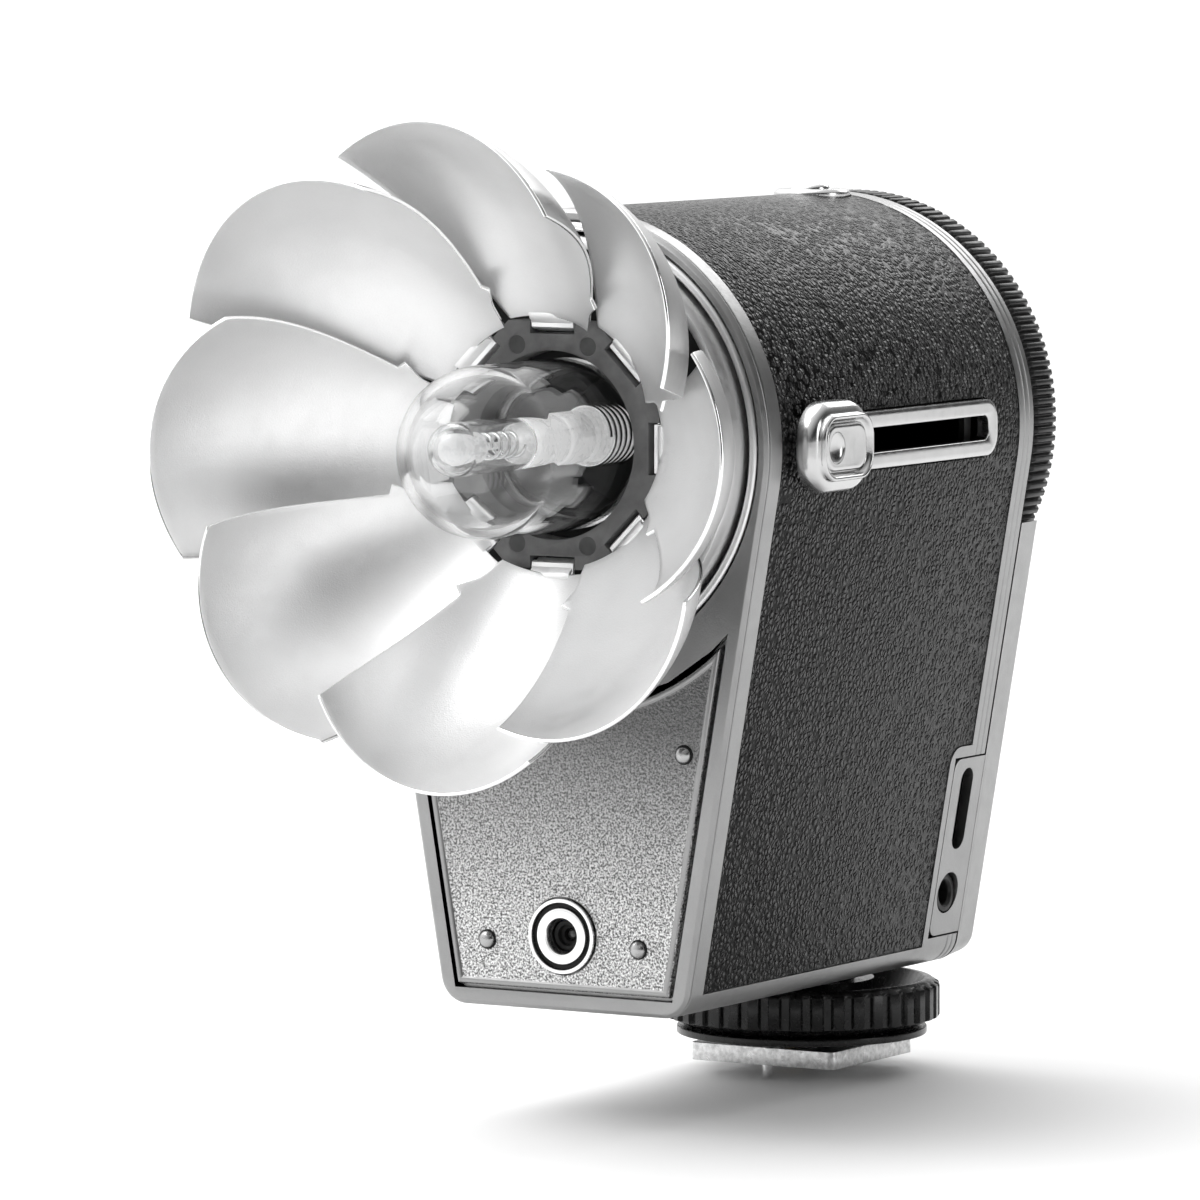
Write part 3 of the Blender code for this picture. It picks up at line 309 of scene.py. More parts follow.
def make_finishes():
    """Every material of the object, by the name the pieces use."""
    made = {
        "casing": blasted_metal("satin_casing", 0.32, 0.34, 0.20, 0.02, 0.08),
        "leaf": blasted_metal("blasted_leaf", 0.94, 0.33, 0.18, 0.022, 0.06, 0.74),
        "leaf_back": blasted_metal("leaf_back", 0.50, 0.36, 0.20, 0.015, 0.08, 0.95),
        "sleeve": blasted_metal("satin_sleeve", 0.78, 0.34, 0.14, 0.010),
        # Edge finish: tone 0.95 against the casing's 0.32, a painted highlight on bevels and leaf borders,
        # with a smoother gloss.
        "edge": blasted_metal("painted_edge_highlight", 0.95, 0.16, 0.3, 0.001, 0.02),
        "chrome": blasted_metal("satin_chrome", 0.56, 0.20, 0.5, 0.0015, 0.03),
        "bright": blasted_metal("bright_pin", 0.9, 0.2, 0.2, 0.002, 0.03),
        "steel": blasted_metal("dull_steel", 0.42, 0.26, 0.2, 0.004, 0.08),
    }
    made["plate"] = grained_plate()
    made["leather"] = pebbled_leather()
    lumps = (0.7, 4.0, 0.65)            # coarse hammered skin of the cast foot
    made["foot"] = clouded("cast_foot", 0.68, 0.34, (0.50, 0.80), lumps, (0.26, 0.40), (0.9, 3.0), lumps,
                           0.06, 1.0, (0.35, 0.65))
    made["brushed_dial"] = turned_dial()
    for name, tone, rough, grain, depth in (
            ("hub", 0.115, 0.46, 0.12, 0.006), ("dial", 0.010, 0.34, 0.25, 0.004),
            ("ring", 0.008, 0.24, 0.3, 0.004), ("dark", 0.008, 0.6, 0.2, 0.004),
            ("tube_black", 0.012, 0.5, 0.2, 0.004), ("plug", 0.055, 0.5, 0.12, 0.004)):
        made[name] = clouded(name + "_black", tone, rough, (tone * 0.8, tone * 1.35), (2.5, 4.0),
                             (rough - 0.06, rough + 0.07), (0.9, 3.0), (grain, 2.0), depth,
                             Specular_IOR_Level=0.3)
    made["glass"] = clear_glass("dome_glass", 1.5, 50.0)
    made["tube_glass"] = clear_glass("tube_glass", 1.46, 25.0)
    # White etched glass of the lamp's rear seal and electrode, given a faint painted glow, and the dark
    # photo-cell window
    made["frosted_painted_glow"] = clouded("etched_glass_painted_glow", 0.96, 0.30, (0.80, 1.0), (0.9, 4.0), (0.15, 0.40), (0.9, 4.0),
                              (0.8, 2.0), 0.02, Transmission_Weight=0.1, IOR=1.46,
                              Emission_Color=rgba(1.0), Emission_Strength=0.30)
    made["lens"] = clouded("cell_lens", 0.02, 0.08, (0.01, 0.05), (0.8, 2.0), (0.05, 0.12), (0.5, 2.0),
                           (0.6, 2.0), 0.004, limits=(0.0, 1.0), Coat_Weight=0.6)
    for name, material, dark, light, rough, size, metallic in (
            ("board", "solder_mask", (0.015, 0.10, 0.04), (0.03, 0.16, 0.07), 0.4, 3.0, 0.0),
            ("battery", "battery_wrap", (0.07, 0.12, 0.30), (0.12, 0.18, 0.42), 0.35, 6.0, 0.0),
            ("gilt", "gilt_contact", (0.78, 0.56, 0.22), (0.86, 0.66, 0.32), 0.22, 0.6, 1.0),
            ("lamp_red", "ready_lamp_red", (0.35, 0.02, 0.015), (0.5, 0.04, 0.03), 0.22, 0.8, 0.0)):
        made[name] = clouded(material, dark, rough, (dark, light), (size, 4.0), (rough - 0.05, rough + 0.08),
                             (size * 0.4, 3.0), (size * 0.3, 2.0), 0.002 if size < 2 else 0.005, metallic)
    return made


def clouded(name, tone, rough, tones, cloud, sheen, shine, relief, depth_mm, metallic=0.0,
            limits=(0.3, 0.7), **extra):
    """A finish whose tone, gloss and level each follow a noise of their own.

    cloud, shine and relief are those noises, as (feature size, detail, roughness); tones and sheen are
    the limits of the tone and of the roughness.
    """
    made = Finish(name, tone, rough, metallic, **extra)
    made.tint(made.ramp(made.noise(*cloud), *limits), *tones)
    made.gloss(made.noise(*shine), *sheen)
    made.bump(made.noise(*relief), depth_mm)
    return made.material


def grained_plate():
    """Cast plate with a fine leather-like grain on dull metal, with painted shade that darkens it towards
    the top.
    """
    made = Finish("grained_plate", 0.45, 0.40, 1.0)
    grain = made.noise(0.24, 2.0, 0.6)
    split = made.node("ShaderNodeSeparateXYZ", {"Vector": made.place})
    # Painted shade: the tone falls from full at 20 mm up to 0.12 of it at 42 mm, under the reflector.
    height = made.ramp(split.outputs["Z"], 20 * MM, 42 * MM, 1.0, 0.12)
    speckle = made.ramp(grain, 0.38, 0.62)
    made.tint(made.add(speckle, height, "MULTIPLY"), 0.11, 0.84)
    made.gloss(made.noise(1.2, 3.0), 0.34, 0.46)
    made.bump(grain, 0.09)
    made.bump(made.cells(0.45, "SMOOTH_F1", Smoothness=0.5), 0.05)
    return made.material


def pebbled_leather():
    """Black leatherette: irregular pebbles with creases between them, painted shade in the creases and a
    painted sheen on their crowns.
    """
    made = Finish("pebbled_leather", 0.02, 0.30, 0.0, Specular_IOR_Level=0.13)
    drift = made.node("ShaderNodeTexNoise", {"Scale": 1 / (0.9 * MM), "Detail": 1.0, "Vector": made.place})
    place = made.node("ShaderNodeVectorMath", {0: drift.outputs["Color"], 1: (0.45 * MM,) * 3,
                                               2: made.place}, operation="MULTIPLY_ADD").outputs["Vector"]
    crease = made.ramp(made.cells(PEBBLE_MM, "DISTANCE_TO_EDGE", place), 0.0, 0.26)
    pebble = made.ramp(made.cells(PEBBLE_MM, "F1", place), 0.0, 0.8, 1.0, 0.0)
    crown_relief_and_painted_light = made.add(crease, pebble, "MULTIPLY")
    # Painted shade in the creases and a painted sheen on the crowns: tone from 0.002 to 0.026.
    made.tint(crown_relief_and_painted_light, 0.002, 0.026)
    made.gloss(made.noise(0.7, 3.0), 0.20, 0.30)
    made.bump(made.noise(2.6, 2.0), 0.20)
    made.bump(crown_relief_and_painted_light, 0.22)
    made.bump(made.noise(0.14, 2.0), 0.010)
    return made.material


def turned_dial():
    """Metal disc with concentric tool marks about the barrel axis."""
    made = Finish("turned_dial", 0.47, 0.30, 1.0)
    shift = made.node("ShaderNodeVectorMath", {0: made.place, 1: (0, 0, AXIS_Z * MM)}, operation="SUBTRACT")
    split = made.node("ShaderNodeSeparateXYZ", {"Vector": shift.outputs["Vector"]}).outputs
    squares = made.add(made.add(split["X"], split["X"], "MULTIPLY"),
                       made.add(split["Z"], split["Z"], "MULTIPLY"))
    ring = made.node("ShaderNodeTexNoise", {"Scale": 1 / (0.12 * MM), "Detail": 3.0,
                                            "W": made.add(squares, 0.5, "POWER")},
                     noise_dimensions="1D").outputs["Fac"]
    made.tint(made.ramp(ring), 0.40, 0.54)
    made.gloss(ring, 0.24, 0.36)
    made.bump(ring, 0.006)
    return made.material


def clear_glass(name, ior, absorption):
    """Clear blown glass with the slightest waviness, darker where it is looked at edge on."""
    made = Finish(name, 1.0, 0.0, 0.0, Transmission_Weight=1.0, IOR=ior)
    made.bump(made.noise(6.0, 1.0), 0.01, 0.25)
    made.tint(made.noise(4.0, 2.0), (0.985, 0.99, 0.992), 1.0)
    depth = made.node("ShaderNodeVolumeAbsorption", {"Color": rgba(0.0), "Density": absorption})
    made.link(depth.outputs["Volume"], made.tree.nodes["Material Output"].inputs["Volume"])
    return made.material


FINISH = make_finishes()


# ---- mesh helpers

def rounded(points, setback, closed=True, steps=4):
    """A polygon with its corners eased by short curves that start `setback` from each corner."""
    count, eased = len(points), []
    for i, corner in enumerate(points):
        here = Vector(corner)
        if not closed and i in (0, count - 1):
            eased.append(tuple(here))
            continue
        before = Vector(points[i - 1]) - here
        after = Vector(points[(i + 1) % count]) - here
        reach = min(setback, 0.45 * before.length, 0.45 * after.length)
        start, end = here + before.normalized() * reach, here + after.normalized() * reach
        for step in range(steps + 1):
            t = step / steps
            eased.append(tuple(start * (1 - t) ** 2 + here * 2 * t * (1 - t) + end * t * t))
    return eased


def loft(sections, cyclic=False):
    """Skin equal loops of 3-D points; close it end to end, or with end caps."""
    bm = bmesh.new()
    loops = [[bm.verts.new(point) for point in section] for section in sections]
    pairs = list(zip(loops, loops[1:]))
    if cyclic:
        pairs.append((loops[-1], loops[0]))
    for near, far in pairs:
        for i in range(len(near)):
            j = (i + 1) % len(near)
            bm.faces.new((near[i], near[j], far[j], far[i]))
    if not cyclic:
        bm.faces.new(loops[0])
        bm.faces.new(loops[-1])
    return bm


def radial(angle):
    """Unit vector square to Y at an angle from +X towards +Z."""
    return Vector((cos(angle), 0, sin(angle)))


def around(axis, centre, radius, along, angle):
    """A point on a turned shape: `along` is the world coordinate on the turning axis."""
    across, up = radius * cos(angle), radius * sin(angle)
    if axis == "X":
        return (along, centre[1] + across, centre[2] + up)
    if axis == "Y":
        return (centre[0] + across, along, centre[2] + up)
    return (centre[0] + across, centre[1] + up, along)


def turned(profile, axis, centre, segments=96, closed=False):
    """Spin a (radius, along) profile; an open one starts and ends on the axis."""
    bm = bmesh.new()
    rings = []
    for radius, along in profile:
        if radius < 1e-6:
            rings.append([bm.verts.new(around(axis, centre, 0, along, 0))])
            continue
        rings.append([bm.verts.new(around(axis, centre, radius, along, 2 * pi * i / segments))
                      for i in range(segments)])
    pairs = list(zip(rings, rings[1:]))
    if closed:
        pairs.append((rings[-1], rings[0]))
    for near, far in pairs:
        for i in range(segments):
            j = (i + 1) % segments
            if len(near) == 1:
                bm.faces.new((near[0], far[j], far[i]))
            elif len(far) == 1:
                bm.faces.new((near[i], near[j], far[0]))
            else:
                bm.faces.new((near[i], near[j], far[j], far[i]))
    return bm


def drill(axis, centre, radius, along, segments=96):
    """A round cutter between two coordinates on its axis."""
    start, end = along
    return turned([(0, start), (radius, start), (radius, end), (0, end)], axis, centre, segments)


def dome_profile(radius, level, rise):
    """Quarter ellipse from the axis out to `radius`, bulging `rise` towards -Y from `level`."""
    return [(radius * sin(radians(a)), level - rise * cos(radians(a)))
            for a in range(0, 91, 10)]


def rounded_rectangle(width, height, radius, steps=8):
    """Points of a rounded rectangle about (0, 0), counter-clockwise."""
    points = []
    for sx, sy, start in ((1, 1, 0), (-1, 1, 90), (-1, -1, 180), (1, -1, 270)):
        for step in range(steps + 1):
            angle = radians(start + 90 * step / steps)
            points.append((sx * (width / 2 - radius) + radius * cos(angle),
                           sy * (height / 2 - radius) + radius * sin(angle)))
    return points


def stack_x(levels, centre_y, centre_z, steps=8):
    """Skin rounded rectangles, given as ((y, z) size, corner radius, x)."""
    return loft([[(x, centre_y + y, centre_z + z) for y, z in rounded_rectangle(*size, radius, steps)]
                 for size, radius, x in levels])


def prism_x(size, radius, x_range, centre_y, centre_z, steps=8):
    """A bar along X whose section is a rounded rectangle."""
    return stack_x([(size, radius, x) for x in x_range], centre_y, centre_z, steps)


def prism_y(outline, y_range):
    """Run an (x, z) outline along Y."""
    return loft([[(x, y, z) for x, z in outline] for y in y_range])


def block(x_range, y_range, z_range):
    """A plain box between three pairs of limits, for cutting."""
    outline = [(x_range[0], z_range[0]), (x_range[1], z_range[0]),
               (x_range[1], z_range[1]), (x_range[0], z_range[1])]
    return prism_y(outline, y_range)


def add_object(name, data):
    """Link a new object that shows `data`."""
    made = bpy.data.objects.new(name, data)
    bpy.context.scene.collection.objects.link(made)
    return made


def raw_object(name, bm):
    """Link a mesh given in world millimetres as an object at the world origin."""
    bmesh.ops.remove_doubles(bm, verts=bm.verts, dist=1e-4)
    bmesh.ops.recalc_face_normals(bm, faces=bm.faces)
    bmesh.ops.scale(bm, verts=bm.verts, vec=(MM, MM, MM))
    mesh = bpy.data.meshes.new(name)
    bm.to_mesh(mesh)
    bm.free()
    return add_object(name, mesh)


def settle(obj):
    """Replace an object's mesh by its modified one."""
    graph = bpy.context.evaluated_depsgraph_get()
    mesh = bpy.data.meshes.new_from_object(obj.evaluated_get(graph))
    obj.modifiers.clear()
    obj.data = mesh


def carve(obj, cutters, operation="DIFFERENCE"):
    """Cut shapes or spare objects out of an object, or join them to it, and remove them."""
    tools = [tool if isinstance(tool, bpy.types.Object) else raw_object("tool", tool) for tool in cutters]
    for tool in tools:
        step = obj.modifiers.new("carve", "BOOLEAN")
        step.operation = operation
        step.solver = "EXACT"
        step.object = tool
    settle(obj)
    for tool in tools:
        bpy.data.objects.remove(tool, do_unlink=True)


def soften(obj, width_mm, segments=2, angle=38, bright=False):
    """Ease an object's sharp edges; with bright set, the bevels take the second material, a painted
    highlight.
    """
    step = obj.modifiers.new("soften", "BEVEL")
    if bright:
        obj.data.materials.append(None)
        obj.data.materials.append(None)
        step.material = 1
    step.width = width_mm * MM
    step.segments = segments
    step.limit_method = "ANGLE"
    step.angle_limit = radians(angle)
    step.miter_outer = "MITER_ARC"
    settle(obj)


def piece(obj, finish, node=None, body=None, smooth=32, also=(), even=False):
    """Dress an object, seat it on its body, and let it stand for its CAD node."""
    marks = [face.material_index for face in obj.data.polygons]
    obj.data.materials.clear()
    for name in [finish, *also]:
        obj.data.materials.append(FINISH[name])
    if also:
        obj.data.polygons.foreach_set("material_index", marks)
    obj.data.shade_smooth()
    obj.data.set_sharp_from_angle(angle=radians(smooth))
    if even:
        step = obj.modifiers.new("even", "WEIGHTED_NORMAL")
        step.keep_sharp = True
        settle(obj)
    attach(obj, body or BODY_OF[node])
    if node:
        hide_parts(node)
    return obj


def turned_piece(name, profile, axis, centre, segments, finish, node=None, closed=False, ease=0, steps=4,
                 **dress):
    """Turn a profile, its corners eased by `ease` millimetres, and dress it."""
    if ease:
        profile = rounded(profile, ease, closed, steps)
    return piece(raw_object(name, turned(profile, axis, centre, segments, closed)), finish, node, **dress)


def shaped_piece(name, shape, finish, node=None, cuts=(), ease=(), bright=False, **dress):
    """Make an object of a shape, cut it, ease its edges by soften's own numbers and dress it."""
    made = raw_object(name, shape)
    if cuts:
        carve(made, cuts)
    if ease:
        soften(made, *ease, bright=bright)
    # bright: the bevels take the edge finish, a painted highlight.
    if bright:
        dress.update(also=("edge",), even=True)
    return piece(made, finish, node, **dress)


def keep(node, finish):
    """Show a CAD node as it is, with a full material."""
    obj = frame["nodes"][node]
    obj.data.materials.clear()
    obj.data.materials.append(FINISH[finish])


# ---- casing

def tangent_angle():
    """Angle of the side wall's outward normal, below the horizontal."""
    run, drop = CORNER_X, BODY_BOTTOM + CORNER_R - AXIS_Z
    return atan2(drop, run) + acos((BODY_R - CORNER_R) / hypot(run, drop))


def arc(centre, radius, start, end, steps):
    """Points of an arc about a 2-D centre, ends included."""
    return [(centre[0] + radius * cos(start + (end - start) * i / steps),
             centre[1] + radius * sin(start + (end - start) * i / steps))
            for i in range(steps + 1)]


def top_arc(inset):
    """The round top of the casing outline, between its tangent points."""
    lean = tangent_angle()
    return arc((0, AXIS_Z), BODY_R - inset, lean, pi - lean, 120)


def shield(inset):
    """The casing outline as (x, z), counter-clockwise from its right tangent point."""
    lean = tangent_angle()
    corner_z = BODY_BOTTOM + CORNER_R
    left = arc((-CORNER_X, corner_z), CORNER_R - inset, pi - lean, 1.5 * pi, 12)
    right = arc((CORNER_X, corner_z), CORNER_R - inset, 1.5 * pi, 2 * pi + lean, 12)
    return top_arc(inset) + left + right


def side_x(z, inset=0.0):
    """Half-width of the casing on its straight side wall at height z."""
    lean = tangent_angle()
    return ((BODY_R - inset) - (z - AXIS_Z) * sin(lean)) / cos(lean)


def wrap_solid(insets, bottom_z, front_y, rear_y):
    """A band between two insets that follows the outline over the top of the casing."""
    paths = []
    for inset in insets:
        end = side_x(bottom_z, inset)
        paths.append([(end, bottom_z), *top_arc(inset), (-end, bottom_z)])
    return loft([[(xo, front_y, zo), (xo, rear_y, zo), (xi, rear_y, zi), (xi, front_y, zi)]
                 for (xo, zo), (xi, zi) in zip(*paths)])


def outline_loft(stations, outline=shield, cyclic=False):
    """Skin an outline drawn at several (inset, y) stations."""
    return loft([[(x, y, z) for x, z in outline(inset)] for inset, y in stations], cyclic)


def port_step(grow):
    """The stepped corner that the leather leaves free for the ports."""
    return prism_x((20, PORT_STEP_Z - 5 + grow), 2.0, (8, 34), PORT_STEP_Y - grow + 10,
                   (PORT_STEP_Z + 5 + grow) / 2)


def slot_section(grow):
    """Size in (y, z) and corner radius of the slot's frame."""
    return (SLOT_Y[1] - SLOT_Y[0] + 2 * grow, 2 * (SLOT_HALF + grow)), 2.5 + grow


def slot_hole():
    """Cutter for the slot's frame, with clearance all round."""
    return prism_x(*slot_section(0.2), (20, 30), sum(SLOT_Y) / 2, AXIS_Z)


def make_mid_case():
    """Silver shell with its raised borders, the sunk field for the leather, and the bored holes."""
    bead = [(0, FRONT_SEAM_Y), (0, REAR_SEAM_Y - 2.35), (0.16, REAR_SEAM_Y - 2.2), (0, REAR_SEAM_Y - 2.05),
            (0, REAR_SEAM_Y - 1.25), (0.16, REAR_SEAM_Y - 1.1), (0, REAR_SEAM_Y - 0.95),
            (0, REAR_SEAM_Y), (WALL, REAR_SEAM_Y), (WALL, FRONT_SEAM_Y)]
    pocket = raw_object("pocket", wrap_solid(
        (-1.0, LEATHER_T + 0.17), LEATHER_BOTTOM_Z - LEATHER_CLEAR,
        LEATHER_FRONT_Y - LEATHER_CLEAR, LEATHER_REAR_Y + LEATHER_CLEAR))
    carve(pocket, [port_step(-LEATHER_CLEAR)])
    low, high = TEST_CUT_Z
    well = [(0, low), (TEST_HOLE_R, low), (TEST_HOLE_R, TEST_SHELF_Z), (TEST_POCKET_R, TEST_SHELF_Z),
            (TEST_POCKET_R, high), (0, high)]
    # Its eased edges take the edge finish: a painted highlight.
    shaped_piece("mid_case_shell", outline_loft(rounded(bead, 0.22, steps=3), cyclic=True), "casing",
                 "mid_case", [
        slot_hole(),
        block((8, 30), (COVER_TAB_FRONT_Y - SEAM, 12), (COVER_TAB_Z[0] - SEAM, COVER_TAB_Z[1] + SEAM)),
        turned(well, "Z", (0, TEST_Y, 0)),
        drill("Z", (0, 0, 0), STEM_R + 0.3, (8, 14)), pocket], (0.16, 3), bright=True)


def make_leather():
    """Leatherette over the top and down both sides, with eased edges."""
    shape = wrap_solid((0.05, 0.05 + LEATHER_T), LEATHER_BOTTOM_Z, LEATHER_FRONT_Y, LEATHER_REAR_Y)
    shaped_piece("leather_cover", shape, "leather", "leather_wrap", [
        port_step(0), slot_hole(), drill("Z", (0, TEST_Y, 0), TEST_POCKET_R, TEST_CUT_Z)], (0.2, 3))


def plate_outline(grow):
    """Front plate: the casing's lower part under a hollow arc round the barrel."""
    arc_r = PLATE_ARC_R - grow
    margin = PLATE_MARGIN - grow
    low_z = BODY_BOTTOM + margin
    start = tangent_angle() - acos((BODY_R - margin) / arc_r)
    bottom_x = side_x(low_z, margin)
    return rounded(arc((0, AXIS_Z), arc_r, start, -pi - start, 64)
                   + [(-bottom_x, low_z), (bottom_x, low_z)], 0.0001, steps=1)


def make_front():
    """Front bezel, the grained plate with its raised border, rivets and photo-cell."""
    shape = outline_loft(
        [(WALL + 0.4, FRONT_SEAM_Y + 1.7), (WALL + 0.4, FRONT_SEAM_Y - SEAM)]
        + rounded([(WALL + 0.4, FRONT_SEAM_Y - SEAM), (0, FRONT_SEAM_Y - SEAM), (0, FRONT_Y + 0.42),
                   (0.42, FRONT_Y), (1.0, FRONT_Y)], 0.12, closed=False, steps=3)[1:])
    # Its eased edges take the edge finish: a painted highlight.
    shaped_piece("front_frame", shape, "casing", "front_bezel", [
        drill("Y", BARREL_AXIS, BEZEL_BORE_R, FRONT_CUT_Y, 200),
        prism_y(plate_outline(PLATE_GROOVE), (FRONT_CUT_Y[0], PLATE_BACK_Y + 0.35)),
        drill("Y", (0, 0, SENSOR_Z), 2.9, FRONT_CUT_Y)], (0.13, 3), bright=True)

    levels = rounded([(0.0, PLATE_BACK_Y), (0.0, FRONT_Y + 0.1), (-0.22, PLATE_FRONT_Y - 0.12),
                      (-0.62, PLATE_FRONT_Y - 0.12), (-0.85, PLATE_FRONT_Y + 0.12),
                      (-1.4, PLATE_FRONT_Y + 0.12)], 0.16, closed=False, steps=3)
    plate = shaped_piece("grained_front_plate", outline_loft(levels, plate_outline), "plate", "front_plate",
                         [drill("Y", (0, 0, SENSOR_Z), SENSOR_R + 0.2, FRONT_CUT_Y)],
                         smooth=50, also=("casing",))
    for face in plate.data.polygons:
        if face.center.y < (PLATE_FRONT_Y + 0.05) * MM:
            face.material_index = 1

    spots = [(side * x, z) for side in (1, -1) for x, z in RIVET_SPOTS]
    for number, (x, z) in enumerate(spots, start=1):
        head = PLATE_FRONT_Y + 0.08
        rivet = dome_profile(RIVET_R, head - 0.12, 0.6) + [
            (RIVET_R, head), (0.5, head), (0.5, PLATE_BACK_Y), (0, PLATE_BACK_Y)]
        turned_piece(f"rivet_{number}", rivet, "Y", (x, 0, z), 40, "steel", f"front_rivet_{number}",
                     smooth=50)
        # A thin dark ring round each rivet's foot: a painted shadow.
        seat = [(0.8, head + 0.06), (0.8, head - 0.1), (1.08, head - 0.1), (1.08, head + 0.06)]
        turned_piece(f"rivet_painted_shadow_{number}", seat, "Y", (x, 0, z), 40, "dark", closed=True, ease=0.05,
                     steps=2, body="body")

    centre = (0, 0, SENSOR_Z)
    lip_r = SENSOR_R - 0.42
    rim = [(lip_r, -52.75), (lip_r, SENSOR_FACE_Y), (SENSOR_R, SENSOR_FACE_Y), (SENSOR_R, SENSOR_SEAT_Y),
           (2.7, SENSOR_SEAT_Y), (2.7, SENSOR_BACK_Y), (1.75, SENSOR_BACK_Y), (1.75, SENSOR_RING_Y),
           (2.0, -52.9), (3.05, -52.9), (3.05, SENSOR_RING_Y), (lip_r, SENSOR_RING_Y)]
    turned_piece("photocell_rim", rim, "Y", centre, 96, "bright", "sensor_bezel", closed=True, ease=0.08,
                 steps=2)
    groove = [(3.1, -52.15), (3.1, -52.5), (SENSOR_R - 0.47, -52.5), (SENSOR_R - 0.47, -52.15)]
    turned_piece("photocell_groove", groove, "Y", centre, 96, "dark", closed=True, ease=0.05, steps=2,
                 body="body")
    well = [(0, SENSOR_WELL_Y), (0.75, SENSOR_WELL_Y), (0.75, -50.9), (1.15, -50.9), (1.15, -51.6),
            (1.62, -51.6), (1.62, -49.7), (0, -49.7)]
    turned_piece("photocell_well", well, "Y", centre, 64, "dark", ease=0.06, steps=2, body="body")
    lens = dome_profile(0.7, -50.25, 0.45) + [(0.7, SENSOR_WELL_Y), (0, SENSOR_WELL_Y)]
    turned_piece("photocell_lens", lens, "Y", centre, 40, "lens", "sensor_lens")


def cover_hollow():
    """Outline of the rear cover's hollow: inside the walls and under the dial's cradle."""
    wall, cradle = 1.7, BODY_R + 2.0
    margin_x = side_x(34, wall)
    start = tangent_angle() - acos((BODY_R - wall - 0.4) / cradle)
    arch = arc((0, AXIS_Z), cradle, start, -pi - start, 48)
    corner, low = CORNER_X - 0.2, BODY_BOTTOM + wall
    return arch + [(-margin_x, 34), (-corner - 1.2, low + 1.4), (-corner, low),
                   (corner, low), (corner + 1.2, low + 1.4), (margin_x, 34)]


def make_rear_cover():
    """Rear shell under the dial, with the port tab on the knob side."""
    stations = rounded([(0, REAR_SEAM_Y + SEAM), (0.06, REAR_SEAM_Y + 0.6), (0.5, BACK_Y - 0.95),
                        (1.4, BACK_Y), (2.4, BACK_Y)], 0.6, closed=False, steps=4)
    cover = raw_object("rear_shell", outline_loft(stations))
    carve(cover, [prism_y(cover_hollow(), (0, BACK_Y - 1.5))])
    tab = []
    for z in COVER_TAB_Z:
        outer, inner = side_x(z, 0.03), side_x(z, 1.3)
        tab.append([(outer, COVER_TAB_FRONT_Y, z), (outer, REAR_SEAM_Y + 0.8, z),
                    (inner, REAR_SEAM_Y + 0.8, z), (inner, COVER_TAB_FRONT_Y, z)])
    tab = raw_object("tab", loft(tab))
    carve(tab, [prism_x((14, COVER_TAB_Z[1] - COVER_TAB_Z[0] - 0.02), 1.3, (5, 35),
                        COVER_TAB_FRONT_Y + 7, sum(COVER_TAB_Z) / 2)], "INTERSECT")
    carve(cover, [tab], "UNION")
    carve(cover, [
        drill("Y", BARREL_AXIS, BODY_R + 0.35, (0, 20), 200),
        block((-40, 40), (0, 20), (HORN_TOP_Z, 120)),
        prism_x((2.8, 9.3), 1.39, (10, 30), *USB_SPOT, 10),
        drill("X", (0, *JACK_SPOT), JACK_R + 0.2, (10, 30), 64),
        drill("Y", (0, 0, POWER_Z), POWER_R + 0.25, BACK_CUT_Y, 72),
        drill("Y", (READY_X, 0, POWER_Z), 1.3, BACK_CUT_Y, 40)])
    # Its eased edges take the edge finish: a painted highlight.
    soften(cover, 0.2, 3, bright=True)
    piece(cover, "casing", "rear_cover", also=("edge",), even=True)


def make_ports():
    """USB receptacle, sync jack, and the rear lamp and button."""
    y, z = USB_SPOT
    x_front = side_x(z - 4.65, 1.6)
    shaped_piece("usb_shell", prism_x((3.2, 9.0), 1.3, (x_front - 6.5, x_front), y, z), "dark", "usb_port",
                 [prism_x((2.6, 8.4), 1.1, (x_front - 5.5, x_front + 2), y, z)], (0.06,))
    tongue = prism_x((0.7, 6.4), 0.2, (x_front - 5.6, x_front - 0.7), y, z)
    shaped_piece("usb_tongue", tongue, "dark", ease=(0.08,), body="body")
    x_jack = side_x(JACK_SPOT[1], 0.35)
    socket = [(0, x_jack - 4.2), (1.3, x_jack - 4.2), (1.3, x_jack - 0.35), (1.55, x_jack),
              (JACK_R, x_jack), (JACK_R, x_jack - 5), (0, x_jack - 5)]
    turned_piece("sync_socket", socket, "X", (0, *JACK_SPOT), 64, "dial", "sync_jack", ease=0.1)
    lamp = [(0, BACK_Y + 0.15), (0.8, BACK_Y + 0.12), (1.1, BACK_Y - 0.2), (1.1, 11.4), (0, 11.4)]
    turned_piece("rear_lamp", lamp, "Y", (READY_X, 0, POWER_Z), 40, "lamp_red", "ready_lamp", ease=0.15)
    button = [(0, BACK_Y + 0.05), (1.6, BACK_Y + 0.12), (POWER_R - 0.4, BACK_Y + 0.3), (POWER_R, BACK_Y),
              (POWER_R, 11.9), (POWER_R + 0.9, 11.9), (POWER_R + 0.9, 10.9), (0, 10.9)]
    turned_piece("power_key_cap", button, "Y", (0, 0, POWER_Z), 72, "dial", "power_button", ease=0.25)


# ---- barrel and slide

